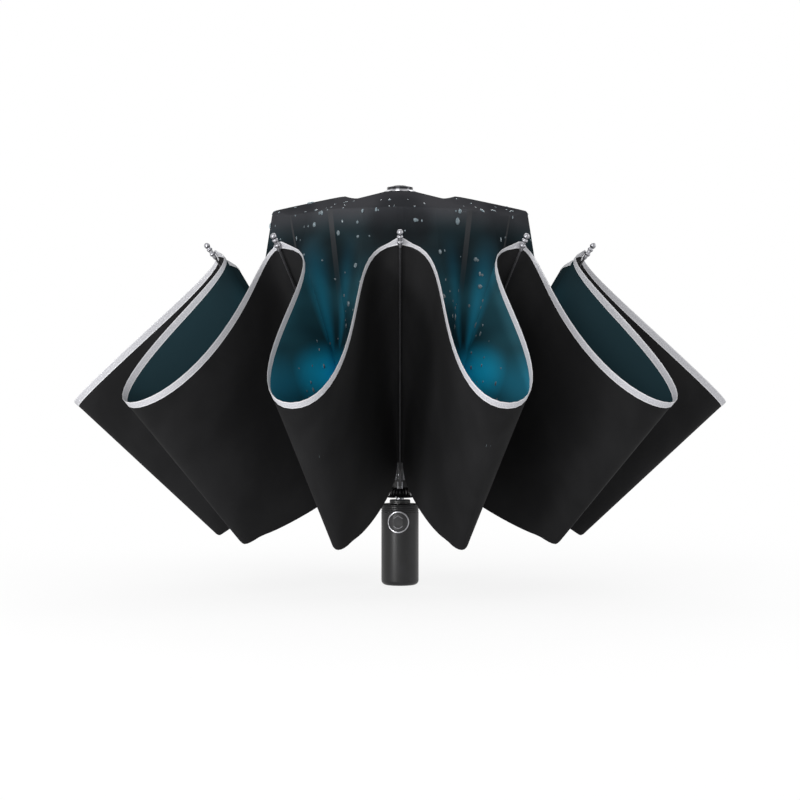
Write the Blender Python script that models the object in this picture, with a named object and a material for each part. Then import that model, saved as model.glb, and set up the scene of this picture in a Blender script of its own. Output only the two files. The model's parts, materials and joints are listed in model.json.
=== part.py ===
"""Ten-rib folding umbrella with a torch in its handle, standing half folded.

Metres, +Z up. The origin is the centre of the handle's base, on the shaft's axis.
Rib 0 points along -Y and the others follow every 36 degrees. Each rib is a chain of
three bars: the top rib hangs on the crown, the middle rib on the top rib, and the
outer rib folds back up from the elbow. A stretcher runs from the runner to each
middle rib. The cloth lies on the outer side of the top and middle ribs and on the
inner side of the outer ribs, and falls in one deep lobe between each two ribs.
"""

import bmesh
import bpy
from math import atan2, cos, pi, radians, sin, sqrt, tau
from mathutils import Matrix, Vector

# General fits
FIT = 0.0003
MERGE = 0.00001
CUT_OVERRUN = 0.004
SEAT_INSET = 0.0002

# Handle
HANDLE_LENGTH = 0.078
HANDLE_RADIUS = 0.018
HANDLE_BASE_FILLET = 0.0045
HANDLE_TOP_CHAMFER = 0.0006
HANDLE_RIM_WIDTH = 0.0015
BULKHEAD_THICKNESS = 0.005
TUBE_SOCKET_DEPTH = 0.038
GROOVE_COUNT = 3
GROOVE_WIDTH = 0.0008
GROOVE_PITCH = 0.0020
GROOVE_DEPTH = 0.0004
GROOVE_TOP_MARGIN = 0.0012
COLLAR_RADIUS = 0.0100
COLLAR_HEIGHT = 0.004
COLLAR_SPIGOT_RADIUS = 0.0072
COLLAR_SPIGOT_DEPTH = 0.002
COLLAR_CHAMFER = 0.0006

# Opening button on the front of the handle
BUTTON_AZIMUTH = radians(-96)
BUTTON_DROP = 0.0168
RING_RADIUS = 0.0103
RING_WIDTH = 0.0010
RING_STANDOFF = 0.0001
BUTTON_POCKET_DEPTH = 0.0048
BUTTON_THICKNESS = 0.0024
BUTTON_RECESS = 0.0003
BUTTON_TRAVEL = 0.0010
BUTTON_DISH = 0.0004
BUTTON_STEM_RADIUS = 0.0012
SPRING_RADIUS = 0.0020
SPRING_WIRE_RADIUS = 0.0003
SPRING_TURNS = 4
SPRING_BORE_DEPTH = 0.0046

# Torch in the base of the handle
CAP_RECESS = 0.0005
CAP_HEIGHT = 0.0070
CAP_WALL = 0.0030
CAP_LIP = 0.0012
LENS_THICKNESS = 0.0016
LENS_LIP = 0.0012
REFLECTOR_HEIGHT = 0.0055
REFLECTOR_WALL = 0.0010
LED_RADIUS = 0.0022
LED_HEIGHT = 0.0016
BOARD_THICKNESS = 0.0012
BATTERY_RADIUS = 0.0080
BATTERY_HEIGHT = 0.0160
SWITCH_AZIMUTH = radians(90)
SWITCH_HEIGHT = 0.018
SWITCH_RADIUS = 0.0045
SWITCH_CROWN = 0.0006
SWITCH_STEM_RADIUS = 0.0030
SWITCH_TRAVEL = 0.0006
SWITCH_FLANGE_THICKNESS = 0.0016

# Telescoping shaft
LOWER_TUBE_RADIUS = 0.0037
TUBE_WALL = 0.0008
TUBE_CLEARANCE = 0.0004
UPPER_TUBE_LENGTH = 0.287
MIDDLE_TUBE_SHORTFALL = 0.004
LOWER_TUBE_SHORTFALL = 0.006
RUNNER_GAP = 0.002

# Bars and pins that the ribs share
BAR_HALF_DEPTH = 0.0016
CHANNEL_WIDTH = 0.0048
CHANNEL_SLOT = 0.0032
CHANNEL_WEB = 0.0007
TONGUE_WIDTH = 0.0024
TONGUE_LENGTH = 0.0036
TONGUE_ROOT = 0.0050
PIN_RADIUS = 0.0006
FORK_LENGTH = 0.0040
ELBOW_FORK_LENGTH = 0.0180
STRETCHER_LUG_DROP = 0.0014
STRETCHER_LUG_HALF_LENGTH = 0.0040
STRETCHER_PIN_CLEARANCE = 0.0005

# Rib joints, radius from the axis and height below the crown hinge or above the elbow
RIB_COUNT = 10
CROWN_HINGE_RADIUS = 0.0120
CROWN_HINGE_RISE = 0.0042
SHOULDER_RADIUS = 0.105
SHOULDER_DROP = 0.0255
ELBOW_RADIUS = 0.060
ELBOW_DROP = 0.2785
TIP_BASE_RADIUS = 0.183
TIP_BASE_RISE = 0.216
STRETCHER_REACH = 0.095
OUTER_RIB_BOW = 0.0057
OUTER_ROD_RADIUS = 0.0012

# Beaded metal tip at the end of each outer rib
TIP_LENGTH = 0.0135
TIP_BALL_RADIUS = 0.0028
TIP_BEAD_RADIUS = 0.0027
TIP_NECK_RADIUS = 0.0021

# Crown
HUB_RADIUS = 0.0139
HUB_FLANGE_DEPTH = 0.0034
HUB_SLEEVE_RADIUS = 0.0085
HUB_SLEEVE_LENGTH = 0.0130
HUB_SPIGOT_RADIUS = 0.0075
HUB_SPIGOT_RISE = 0.0090
HUB_SPIGOT_FILLET = 0.0012
CAP_FLANGE_RADIUS = 0.0155
CAP_FLANGE_EDGE = 0.0009
CAP_COLLAR_RADIUS = 0.0126
CAP_COLLAR_HEIGHT = 0.0030
CAP_COLLAR_WALL = 0.0012
CAP_COLLAR_RIM = 0.0006
CAP_DISH_DEPTH = 0.0012

# Runner
RUNNER_HINGE_RADIUS = 0.0110
RUNNER_HINGE_RISE = 0.0140
RUNNER_RADIUS = 0.0129
RUNNER_SLEEVE_WALL = 0.0016
RUNNER_FLANGE_HALF_HEIGHT = 0.0030
BELL_RADIUS = 0.0124
BELL_DOME_RADIUS = 0.0097
BELL_BRIM_HEIGHT = 0.0022
BELL_HEIGHT = 0.0100
BELL_WALL = 0.0010

# Cloth
CLOTH_THICKNESS = 0.0006
CLOTH_FIT = 0.0006
CROWN_HOLE_CLEARANCE = 0.0008
SEAT_MARGIN = 0.0004
FOLD_STANDOFF = 0.026
FOLD_POINT_RADIUS = 0.172
FOLD_POINT_DROP = 0.054
FOLD_ROUND = 0.008
HEM_POINT_RADIUS = 0.301
HEM_POINT_RISE = 0.077
HEM_RIB_HANDLE = 0.055
HEM_CENTRE_HANDLE = 0.060
FOLD_RIB_HANDLE = 0.0035
FOLD_CENTRE_HANDLE = 0.020
TAPE_WIDTH = 0.006
TAPE_THICKNESS = 0.0006
TAPE_TIP_GAP = 0.0006

# How finely round things are cut
HANDLE_SEGMENTS = 36
SMALL_SEGMENTS = 24
PIN_SEGMENTS = 6
EYE_STEPS = 4
ROD_SIDES = 6
ROD_STEPS = 6
SPRING_STEPS = 8
BAR_EYE_STEPS = 3
HUB_SEGMENTS = RIB_COUNT * 2
GORE_STEP_SHARES = (0.0, 0.28, 0.54, 0.76, 0.93)
SHARP_ANGLE = radians(35)

# Heights along the shaft
BASE = 0.0
HANDLE_TOP = BASE + HANDLE_LENGTH
COLLAR_TOP = HANDLE_TOP + COLLAR_HEIGHT
RUNNER_BASE = COLLAR_TOP + RUNNER_GAP
UPPER_TUBE_TOP = RUNNER_BASE + FIT + UPPER_TUBE_LENGTH
MIDDLE_TUBE_TOP = UPPER_TUBE_TOP - MIDDLE_TUBE_SHORTFALL
LOWER_TUBE_TOP = MIDDLE_TUBE_TOP - LOWER_TUBE_SHORTFALL
CROWN_HINGE_HEIGHT = UPPER_TUBE_TOP + CROWN_HINGE_RISE
RUNNER_HINGE_HEIGHT = RUNNER_BASE + RUNNER_HINGE_RISE

# Radii of the nested tubes
MIDDLE_TUBE_RADIUS = LOWER_TUBE_RADIUS + TUBE_CLEARANCE + TUBE_WALL
UPPER_TUBE_RADIUS = MIDDLE_TUBE_RADIUS + TUBE_CLEARANCE + TUBE_WALL
RUNNER_BORE = UPPER_TUBE_RADIUS + FIT
RUNNER_SLEEVE_RADIUS = RUNNER_BORE + RUNNER_SLEEVE_WALL

# Rib chain in the plane of one rib, as (radius, height)
CROWN_HINGE = Vector((CROWN_HINGE_RADIUS, CROWN_HINGE_HEIGHT))
SHOULDER = Vector((SHOULDER_RADIUS, CROWN_HINGE_HEIGHT - SHOULDER_DROP))
ELBOW = Vector((ELBOW_RADIUS, CROWN_HINGE_HEIGHT - ELBOW_DROP))
TIP_BASE = Vector((TIP_BASE_RADIUS, ELBOW.y + TIP_BASE_RISE))
RUNNER_HINGE = Vector((RUNNER_HINGE_RADIUS, RUNNER_HINGE_HEIGHT))
HOLE_RADIUS = PIN_RADIUS + FIT

HALF_GORE = pi / RIB_COUNT
MATERIALS = {}


def material(name, colour, roughness, metallic=0.0):
    """Principled material, made once for each name."""
    if name not in MATERIALS:
        made = bpy.data.materials.new(name)
        made.use_nodes = True
        shader = made.node_tree.nodes["Principled BSDF"]
        shader.inputs["Base Color"].default_value = (*colour, 1.0)
        shader.inputs["Roughness"].default_value = roughness
        shader.inputs["Metallic"].default_value = metallic
        MATERIALS[name] = made
    return MATERIALS[name]


def black_plastic():
    return material("black_plastic", (0.020, 0.020, 0.022), 0.45)


def black_steel():
    return material("black_steel", (0.045, 0.045, 0.050), 0.40, 0.7)


def bright_steel():
    return material("bright_steel", (0.60, 0.60, 0.62), 0.28, 1.0)


def place(name, mesh, matrix, finish):
    """Link one named object that shows mesh in the given frame."""
    thing = bpy.data.objects.new(name, mesh)
    bpy.context.scene.collection.objects.link(thing)
    thing.matrix_world = matrix
    if not mesh.materials:
        mesh.materials.append(finish)
    return thing


def finished_mesh(name, shape):
    """Turn a bmesh into a mesh with smooth round sides and crisp edges."""
    bmesh.ops.remove_doubles(shape, verts=shape.verts, dist=MERGE)
    bmesh.ops.recalc_face_normals(shape, faces=shape.faces)
    mesh = bpy.data.meshes.new(name)
    shape.to_mesh(mesh)
    shape.free()
    mesh.shade_smooth()
    mesh.set_sharp_from_angle(angle=SHARP_ANGLE)
    return mesh


def turned_shape(profile, segments, ring):
    """Spin a profile of (radius, height) round Z. A ring profile closes on itself."""
    shape = bmesh.new()
    verts = [shape.verts.new((radius, 0.0, height)) for radius, height in profile]
    edges = [shape.edges.new(pair) for pair in zip(verts, verts[1:])]
    if ring:
        edges.append(shape.edges.new((verts[-1], verts[0])))
    bmesh.ops.spin(shape, geom=verts + edges, axis=(0, 0, 1), cent=(0, 0, 0), angle=tau,
                   steps=segments, use_merge=True)
    return shape


def turned_mesh(name, profile, segments, ring=True):
    return finished_mesh(name, turned_shape(profile, segments, ring))


def arc(centre, radius, start, end, steps):
    """Points on a circle from start to end, in radians, both ends included."""
    angles = [start + (end - start) * step / steps for step in range(steps + 1)]
    return [(centre[0] + radius * cos(a), centre[1] + radius * sin(a)) for a in angles]


def extruded_mesh(name, outline, half_width):
    """Prism whose side view, in X and Z, is the outline."""
    shape = bmesh.new()
    face = shape.faces.new([shape.verts.new((x, -half_width, z)) for x, z in outline])
    grown = bmesh.ops.extrude_face_region(shape, geom=[face])["geom"]
    moved = [item for item in grown if isinstance(item, bmesh.types.BMVert)]
    bmesh.ops.translate(shape, verts=moved, vec=(0, half_width + half_width, 0))
    return finished_mesh(name, shape)


def cross_pin_mesh(x, z, radius, half_width):
    """Round pin along Y through the point (x, z)."""
    shape = bmesh.new()
    turn = Matrix.Translation((x, 0, z)) @ Matrix.Rotation(pi / 2, 4, "X")
    bmesh.ops.create_cone(shape, cap_ends=True, segments=PIN_SEGMENTS, radius1=radius,
                          radius2=radius, depth=half_width + half_width, matrix=turn)
    return finished_mesh("pin", shape)


def box_mesh(low, high):
    """Box between two corners."""
    shape = bmesh.new()
    size = Vector(high) - Vector(low)
    middle = Matrix.Translation((Vector(low) + Vector(high)) / 2)
    bmesh.ops.create_cube(shape, size=1.0, matrix=middle @ Matrix.Diagonal((*size, 1.0)))
    return finished_mesh("box", shape)


def combined(name, base, steps):
    """Bake Boolean steps, each (operation, mesh), into one new mesh."""
    body = place(name + "_blank", base, Matrix(), black_steel())
    tools = []
    for operation, tool_mesh in steps:
        tool = place(name + "_tool", tool_mesh, Matrix(), black_steel())
        tool.hide_render = True
        tool.display_type = "WIRE"
        tools.append(tool)
        cut = body.modifiers.new(operation.lower(), "BOOLEAN")
        cut.operation = operation
        cut.object = tool
    seen = body.evaluated_get(bpy.context.evaluated_depsgraph_get())
    mesh = bpy.data.meshes.new_from_object(seen)
    for thing in [body] + tools:
        bpy.data.objects.remove(thing)
    mesh.name = name
    mesh.materials.clear()
    mesh.shade_smooth()
    mesh.set_sharp_from_angle(angle=SHARP_ANGLE)
    return mesh


def rib_azimuth(index):
    return index * HALF_GORE * 2 - pi / 2


def rib_frame(index, point, angle):
    """Frame of a bar: X along it, Y along its hinge pin, Z towards the cloth's wet side."""
    azimuth = rib_azimuth(index)
    outward = Vector((cos(azimuth), sin(azimuth), 0))
    across = Vector((-sin(azimuth), cos(azimuth), 0))
    upward = Vector((0, 0, 1))
    along = outward * cos(angle) + upward * sin(angle)
    wet = upward * cos(angle) - outward * sin(angle)
    frame = Matrix((along, across, wet)).transposed().to_4x4()
    frame.translation = outward * point[0] + upward * point[1]
    return frame


def facing_frame(azimuth, height):
    """Frame on the axis whose Z points out of the handle at the given height."""
    outward = Vector((cos(azimuth), sin(azimuth), 0))
    across = Vector((-sin(azimuth), cos(azimuth), 0))
    frame = Matrix((across, Vector((0, 0, 1)), outward)).transposed().to_4x4()
    frame.translation = (0, 0, height)
    return frame


def direction(start, end):
    return atan2(end.y - start.y, end.x - start.x)


def wet_normal(angle):
    return Vector((-sin(angle), cos(angle)))


TOP_ANGLE = direction(CROWN_HINGE, SHOULDER)
MIDDLE_ANGLE = direction(SHOULDER, ELBOW)
OUTER_ANGLE = direction(ELBOW, TIP_BASE)
TOP_LENGTH = (SHOULDER - CROWN_HINGE).length
MIDDLE_LENGTH = (ELBOW - SHOULDER).length
OUTER_LENGTH = (TIP_BASE - ELBOW).length
MIDDLE_ALONG = (ELBOW - SHOULDER) / MIDDLE_LENGTH
OUTER_ALONG = (TIP_BASE - ELBOW) / OUTER_LENGTH
STRETCHER_PIN = (SHOULDER + MIDDLE_ALONG * STRETCHER_REACH
                 - wet_normal(MIDDLE_ANGLE) * STRETCHER_LUG_DROP)
STRETCHER_ANGLE = direction(RUNNER_HINGE, STRETCHER_PIN)
STRETCHER_LENGTH = (STRETCHER_PIN - RUNNER_HINGE).length


def bar_outline(length, lug_points=()):
    """Side view of a bar from pivot to pivot with round ends. Lug points lie on its dry side."""
    half = BAR_HALF_DEPTH
    far_end = arc((length, 0.0), half, -pi / 2, pi / 2, BAR_EYE_STEPS)
    near_end = arc((0.0, 0.0), half, pi / 2, pi * 1.5, BAR_EYE_STEPS)
    return far_end + near_end + list(lug_points)


def channel_mesh(name, length, fork_length, lug_points, extra_pins):
    """Folded steel channel: flat tongue at the inner end, open fork with a rivet at the outer."""
    side = CHANNEL_WIDTH / 2
    slot = CHANNEL_SLOT / 2
    tongue = TONGUE_WIDTH / 2
    near = -BAR_HALF_DEPTH - CUT_OVERRUN
    far = length + BAR_HALF_DEPTH + CUT_OVERRUN
    top = BAR_HALF_DEPTH + CUT_OVERRUN
    deep = -top - STRETCHER_LUG_DROP
    body = extruded_mesh("body", bar_outline(length, lug_points), side)
    boxes = [((near, tongue, deep), (TONGUE_LENGTH, side + CUT_OVERRUN, top)),
             ((near, -side - CUT_OVERRUN, deep), (TONGUE_LENGTH, -tongue, top)),
             ((TONGUE_ROOT, -slot, deep), (far, slot, BAR_HALF_DEPTH - CHANNEL_WEB)),
             ((length - fork_length, -slot, deep), (far, slot, top))]
    steps = [("DIFFERENCE", box_mesh(low, high)) for low, high in boxes]
    steps.append(("DIFFERENCE", cross_pin_mesh(0, 0, HOLE_RADIUS, CHANNEL_WIDTH)))
    for x, z in [(length, 0.0)] + extra_pins:
        steps.append(("UNION", cross_pin_mesh(x, z, PIN_RADIUS, side - SEAT_INSET)))
    return combined(name, body, steps)


def top_rib_mesh():
    return channel_mesh("top_rib", TOP_LENGTH, FORK_LENGTH, [], [])


def middle_rib_mesh():
    """Longest channel, with a lug for the stretcher's rivet and a deep fork at the elbow."""
    foot = STRETCHER_LUG_HALF_LENGTH
    flat = STRETCHER_LUG_HALF_LENGTH / 2
    edge = -BAR_HALF_DEPTH
    lug = [(STRETCHER_REACH - foot, edge), (STRETCHER_REACH - flat, edge - STRETCHER_LUG_DROP),
           (STRETCHER_REACH + flat, edge - STRETCHER_LUG_DROP), (STRETCHER_REACH + foot, edge)]
    return channel_mesh("middle_rib", MIDDLE_LENGTH, ELBOW_FORK_LENGTH, lug,
                        [(STRETCHER_REACH, -STRETCHER_LUG_DROP)])


def stretcher_mesh():
    """Flat bar with an eye at each end, the outer one eased round its rivet."""
    bar = extruded_mesh("bar", bar_outline(STRETCHER_LENGTH), TONGUE_WIDTH / 2)
    eased = PIN_RADIUS + STRETCHER_PIN_CLEARANCE
    steps = [("DIFFERENCE", cross_pin_mesh(0, 0, HOLE_RADIUS, TONGUE_WIDTH)),
             ("DIFFERENCE", cross_pin_mesh(STRETCHER_LENGTH, 0, eased, TONGUE_WIDTH))]
    return combined("stretcher", bar, steps)


def bow_height(share):
    """How far the outer rib stands off its chord at a share of its length."""
    return 4 * OUTER_RIB_BOW * share * (1 - share)


def tip_profile():
    """Beaded metal tip, from the rod's end to its ball."""
    neck = TIP_NECK_RADIUS
    bead = TIP_BEAD_RADIUS
    ball = TIP_BALL_RADIUS
    outline_shares = [(0.0, bead), (0.12, ball), (0.26, neck), (0.36, bead), (0.46, bead),
                      (0.56, neck)]
    points = [(0.0, 0.0)] + [(radius, TIP_LENGTH * share) for share, radius in outline_shares]
    return points + arc((0.0, TIP_LENGTH - ball), ball, -pi / 6, pi / 2, BAR_EYE_STEPS)


def outer_rib_mesh():
    """Round sprung rod with a flat eye at the elbow and a beaded metal tip."""
    rod = bmesh.new()
    rings = []
    shares = [step / ROD_STEPS for step in range(ROD_STEPS + 1)]
    start_share = BAR_HALF_DEPTH / OUTER_LENGTH
    for share in [start_share] + shares[1:]:
        lean = atan2(4 * OUTER_RIB_BOW * (1 - share - share), OUTER_LENGTH)
        frame = Matrix.Translation((OUTER_LENGTH * share, 0, bow_height(share)))
        frame = frame @ Matrix.Rotation(pi / 2 - lean, 4, "Y")
        circle = bmesh.ops.create_circle(rod, segments=ROD_SIDES, radius=OUTER_ROD_RADIUS,
                                         matrix=frame)["verts"]
        rings.append(circle)
    for lower, upper in zip(rings, rings[1:]):
        for side in range(ROD_SIDES):
            after = (side + 1) % ROD_SIDES
            rod.faces.new((lower[side], lower[after], upper[after], upper[side]))
    rod.faces.new(rings[0])
    rod.faces.new(rings[-1])
    tip = turned_shape(tip_profile(), ROD_SIDES, False)
    end_lean = atan2(-4 * OUTER_RIB_BOW, OUTER_LENGTH)
    end = Matrix.Translation((OUTER_LENGTH - FIT, 0, 0)) @ Matrix.Rotation(pi / 2 - end_lean, 4, "Y")
    bmesh.ops.transform(tip, matrix=end, verts=tip.verts)
    eye = extruded_mesh("eye", bar_outline(TONGUE_LENGTH), TONGUE_WIDTH / 2)
    steps = [("UNION", finished_mesh("rod", rod)),
             ("UNION", finished_mesh("tip", tip)),
             ("DIFFERENCE", cross_pin_mesh(0, 0, HOLE_RADIUS, TONGUE_WIDTH))]
    return combined("outer_rib", eye, steps)


def make_ribs():
    """Ten chains of four bars. Each bar's origin is its inner pivot."""
    kinds = [("top_rib", top_rib_mesh(), CROWN_HINGE, TOP_ANGLE, black_steel()),
             ("middle_rib", middle_rib_mesh(), SHOULDER, MIDDLE_ANGLE, bright_steel()),
             ("outer_rib", outer_rib_mesh(), ELBOW, OUTER_ANGLE, bright_steel()),
             ("stretcher", stretcher_mesh(), RUNNER_HINGE, STRETCHER_ANGLE, black_steel())]
    for index in range(RIB_COUNT):
        for name, mesh, point, angle, finish in kinds:
            place(f"{name}_{index}", mesh, rib_frame(index, point, angle), finish)


def round_row(shape, half_points):
    """One closed row of the cloth, mirrored in each gore and repeated round the shaft."""
    row = []
    for index in range(RIB_COUNT):
        for side, points in ((1, half_points), (-1, half_points[::-1])):
            azimuth = rib_azimuth(index if side == 1 else index + 1)
            outward = Vector((cos(azimuth), sin(azimuth), 0))
            across = Vector((-sin(azimuth), cos(azimuth), 0)) * side
            for radial, lateral, height in points:
                place_at = outward * radial + across * lateral + Vector((0, 0, height))
                row.append(shape.verts.new(place_at))
    return row


def bridge_rows(shape, first, second):
    """Quads between two closed rows."""
    count = len(first)
    for step in range(count):
        after = (step + 1) % count
        shape.faces.new((first[step], first[after], second[after], second[step]))


def half_gore_curve(rib_point, rib_handle, centre_point, centre_handle):
    """S-curve from beside a rib to near the middle of the gore, square to both of them."""
    seat = CHANNEL_WIDTH / 2 + SEAT_MARGIN
    start = Vector((rib_point.x, seat, rib_point.y))
    end = Vector((centre_point.x * cos(HALF_GORE), centre_point.x * sin(HALF_GORE),
                  centre_point.y))
    start_handle = start + Vector((0, rib_handle, 0))
    end_handle = end + Vector((sin(HALF_GORE), -cos(HALF_GORE), 0)) * centre_handle
    points = []
    for t in GORE_STEP_SHARES:
        u = 1 - t
        points.append(start * u ** 3 + start_handle * (3 * u * u * t)
                      + end_handle * (3 * u * t * t) + end * t ** 3)
    return points


def cloth_stand_off(bar_half_depth):
    """Distance from a bar's axis to the middle of the cloth that lies on it."""
    return bar_half_depth + CLOTH_FIT + CLOTH_THICKNESS / 2


def shoulder_line():
    """Straight row of the cloth that turns down over the shoulders."""
    top = wet_normal(TOP_ANGLE)
    middle = wet_normal(MIDDLE_ANGLE)
    corner = SHOULDER + (top + middle) * (cloth_stand_off(BAR_HALF_DEPTH) / (1 + top.dot(middle)))
    seat = CHANNEL_WIDTH / 2 + SEAT_MARGIN
    return corner, Vector((corner.x * cos(HALF_GORE) + seat * sin(HALF_GORE), corner.y))


def outer_cloth_point(share):
    """Place of the cloth at a share of the outer rib, in the rib's plane."""
    clear = cloth_stand_off(OUTER_ROD_RADIUS) + OUTER_RIB_BOW / 4
    return (ELBOW + OUTER_ALONG * (OUTER_LENGTH * share)
            + wet_normal(OUTER_ANGLE) * (clear + bow_height(share)))


def wall_rows():
    """Half-gore curves of the cloth from the shoulder, round the fold and up to the hem."""
    corner, corner_centre = shoulder_line()
    fold_centre = Vector((FOLD_POINT_RADIUS, ELBOW.y - FOLD_POINT_DROP))
    hem_centre = Vector((HEM_POINT_RADIUS, ELBOW.y + HEM_POINT_RISE))
    falling = (fold_centre - corner_centre).normalized()
    rising = (hem_centre - fold_centre).normalized()
    inner_rib = (ELBOW - MIDDLE_ALONG * FOLD_STANDOFF
                 + wet_normal(MIDDLE_ANGLE) * cloth_stand_off(BAR_HALF_DEPTH))
    inner_centre = fold_centre - falling * FOLD_ROUND
    outer_centre = fold_centre + rising * FOLD_ROUND
    fold_share = FOLD_STANDOFF / OUTER_LENGTH
    hem_share = 1 - TAPE_TIP_GAP / OUTER_LENGTH
    half_share = (fold_share + hem_share) / 2
    rows = [half_gore_curve(corner, 0.0, corner_centre, 0.0),
            half_gore_curve((corner + inner_rib) / 2, FOLD_RIB_HANDLE,
                            (corner_centre + inner_centre) / 2, FOLD_CENTRE_HANDLE / 2),
            half_gore_curve(inner_rib, FOLD_RIB_HANDLE, inner_centre, FOLD_CENTRE_HANDLE),
            half_gore_curve(outer_cloth_point(fold_share), FOLD_RIB_HANDLE, outer_centre,
                            FOLD_CENTRE_HANDLE),
            half_gore_curve(outer_cloth_point(half_share), (FOLD_RIB_HANDLE + HEM_RIB_HANDLE) / 2,
                            (outer_centre + hem_centre) / 2,
                            (FOLD_CENTRE_HANDLE + HEM_CENTRE_HANDLE) / 2)]
    edge = half_gore_curve(outer_cloth_point(hem_share), HEM_RIB_HANDLE, hem_centre,
                           HEM_CENTRE_HANDLE)
    return rows, edge


def stepped_back(edge, row_before, distance):
    """Row that lies a set distance inside the edge, towards the row before it."""
    return [point - (point - before).normalized() * distance
            for point, before in zip(edge, row_before)]


def thickened(name, shape, thickness, finish):
    """Give a sheet its thickness with a live Solidify modifier."""
    sheet = place(name, finished_mesh(name, shape), Matrix(), finish)
    solid = sheet.modifiers.new("thickness", "SOLIDIFY")
    solid.thickness = thickness
    solid.offset = 0.0
    solid.solidify_mode = "NON_MANIFOLD"
    solid.nonmanifold_thickness_mode = "CONSTRAINTS"
    solid.nonmanifold_merge_threshold = MERGE
    return sheet


def make_canopy():
    """One cloth: a facet on each pair of top ribs, and a lobe between each two outer ribs."""
    shape = bmesh.new()
    rows, edge = wall_rows()
    rows.append(stepped_back(edge, rows[-1], TAPE_WIDTH + FIT))
    rings = [round_row(shape, row) for row in rows]
    for first, second in zip(rings, rings[1:]):
        bridge_rows(shape, first, second)
    hole = HUB_SPIGOT_RADIUS + CROWN_HOLE_CLEARANCE
    height = cloth_height(hole)
    crown = []
    for index in range(RIB_COUNT):
        azimuth = rib_azimuth(index)
        crown.append(shape.verts.new((hole * cos(azimuth), hole * sin(azimuth), height)))
    columns = len(GORE_STEP_SHARES) * 2
    for index in range(RIB_COUNT):
        first = index * columns
        panel = rings[0][first:first + columns]
        after = (index + 1) % RIB_COUNT
        shape.faces.new([crown[index]] + panel + [crown[after]])
        shape.faces.new((crown[after], panel[-1], rings[0][(first + columns) % len(rings[0])]))
    cloth = material("black_cloth", (0.012, 0.013, 0.015), 0.75)
    thickened("canopy", shape, CLOTH_THICKNESS, cloth)


def make_binding():
    """Silver tape that runs on from the cloth along the whole hem."""
    shape = bmesh.new()
    rows, edge = wall_rows()
    inner = round_row(shape, stepped_back(edge, rows[-1], TAPE_WIDTH))
    outer = round_row(shape, edge)
    bridge_rows(shape, inner, outer)
    tape = material("silver_tape", (0.60, 0.60, 0.64), 0.40)
    thickened("edge_binding", shape, TAPE_THICKNESS, tape)


def cloth_height(radius, offset=0.0):
    """Height of the cloth's middle over the crown, plus an offset square to it."""
    rise = (cloth_stand_off(BAR_HALF_DEPTH) + offset) / cos(TOP_ANGLE)
    slope = (SHOULDER.y - CROWN_HINGE.y) / (SHOULDER.x - CROWN_HINGE.x)
    return CROWN_HINGE.y + rise + (radius - CROWN_HINGE.x) * slope


def notched(name, blank, hinge_radius, hinge_height, outer_radius, low, high):
    """Cut ten hinge notches in a turned blank and set a rivet across each."""
    notch = bmesh.new()
    pins = bmesh.new()
    width = TONGUE_WIDTH + FIT + FIT
    floor = hinge_radius - BAR_HALF_DEPTH - FIT
    far = outer_radius + CUT_OVERRUN
    for index in range(RIB_COUNT):
        frame = rib_frame(index, (0.0, 0.0), 0.0)
        size = Matrix.Diagonal((far - floor, width, high - low, 1.0))
        middle = Matrix.Translation(((far + floor) / 2, 0, (low + high) / 2))
        bmesh.ops.create_cube(notch, size=1.0, matrix=frame @ middle @ size)
        turn = Matrix.Translation((hinge_radius, 0, hinge_height))
        turn = frame @ turn @ Matrix.Rotation(pi / 2, 4, "X")
        bmesh.ops.create_cone(pins, cap_ends=True, segments=PIN_SEGMENTS, radius1=PIN_RADIUS,
                              radius2=PIN_RADIUS, depth=width + PIN_RADIUS, matrix=turn)
    return combined(name, blank, [("DIFFERENCE", finished_mesh("notches", notch)),
                                  ("UNION", finished_mesh("pins", pins))])


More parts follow.
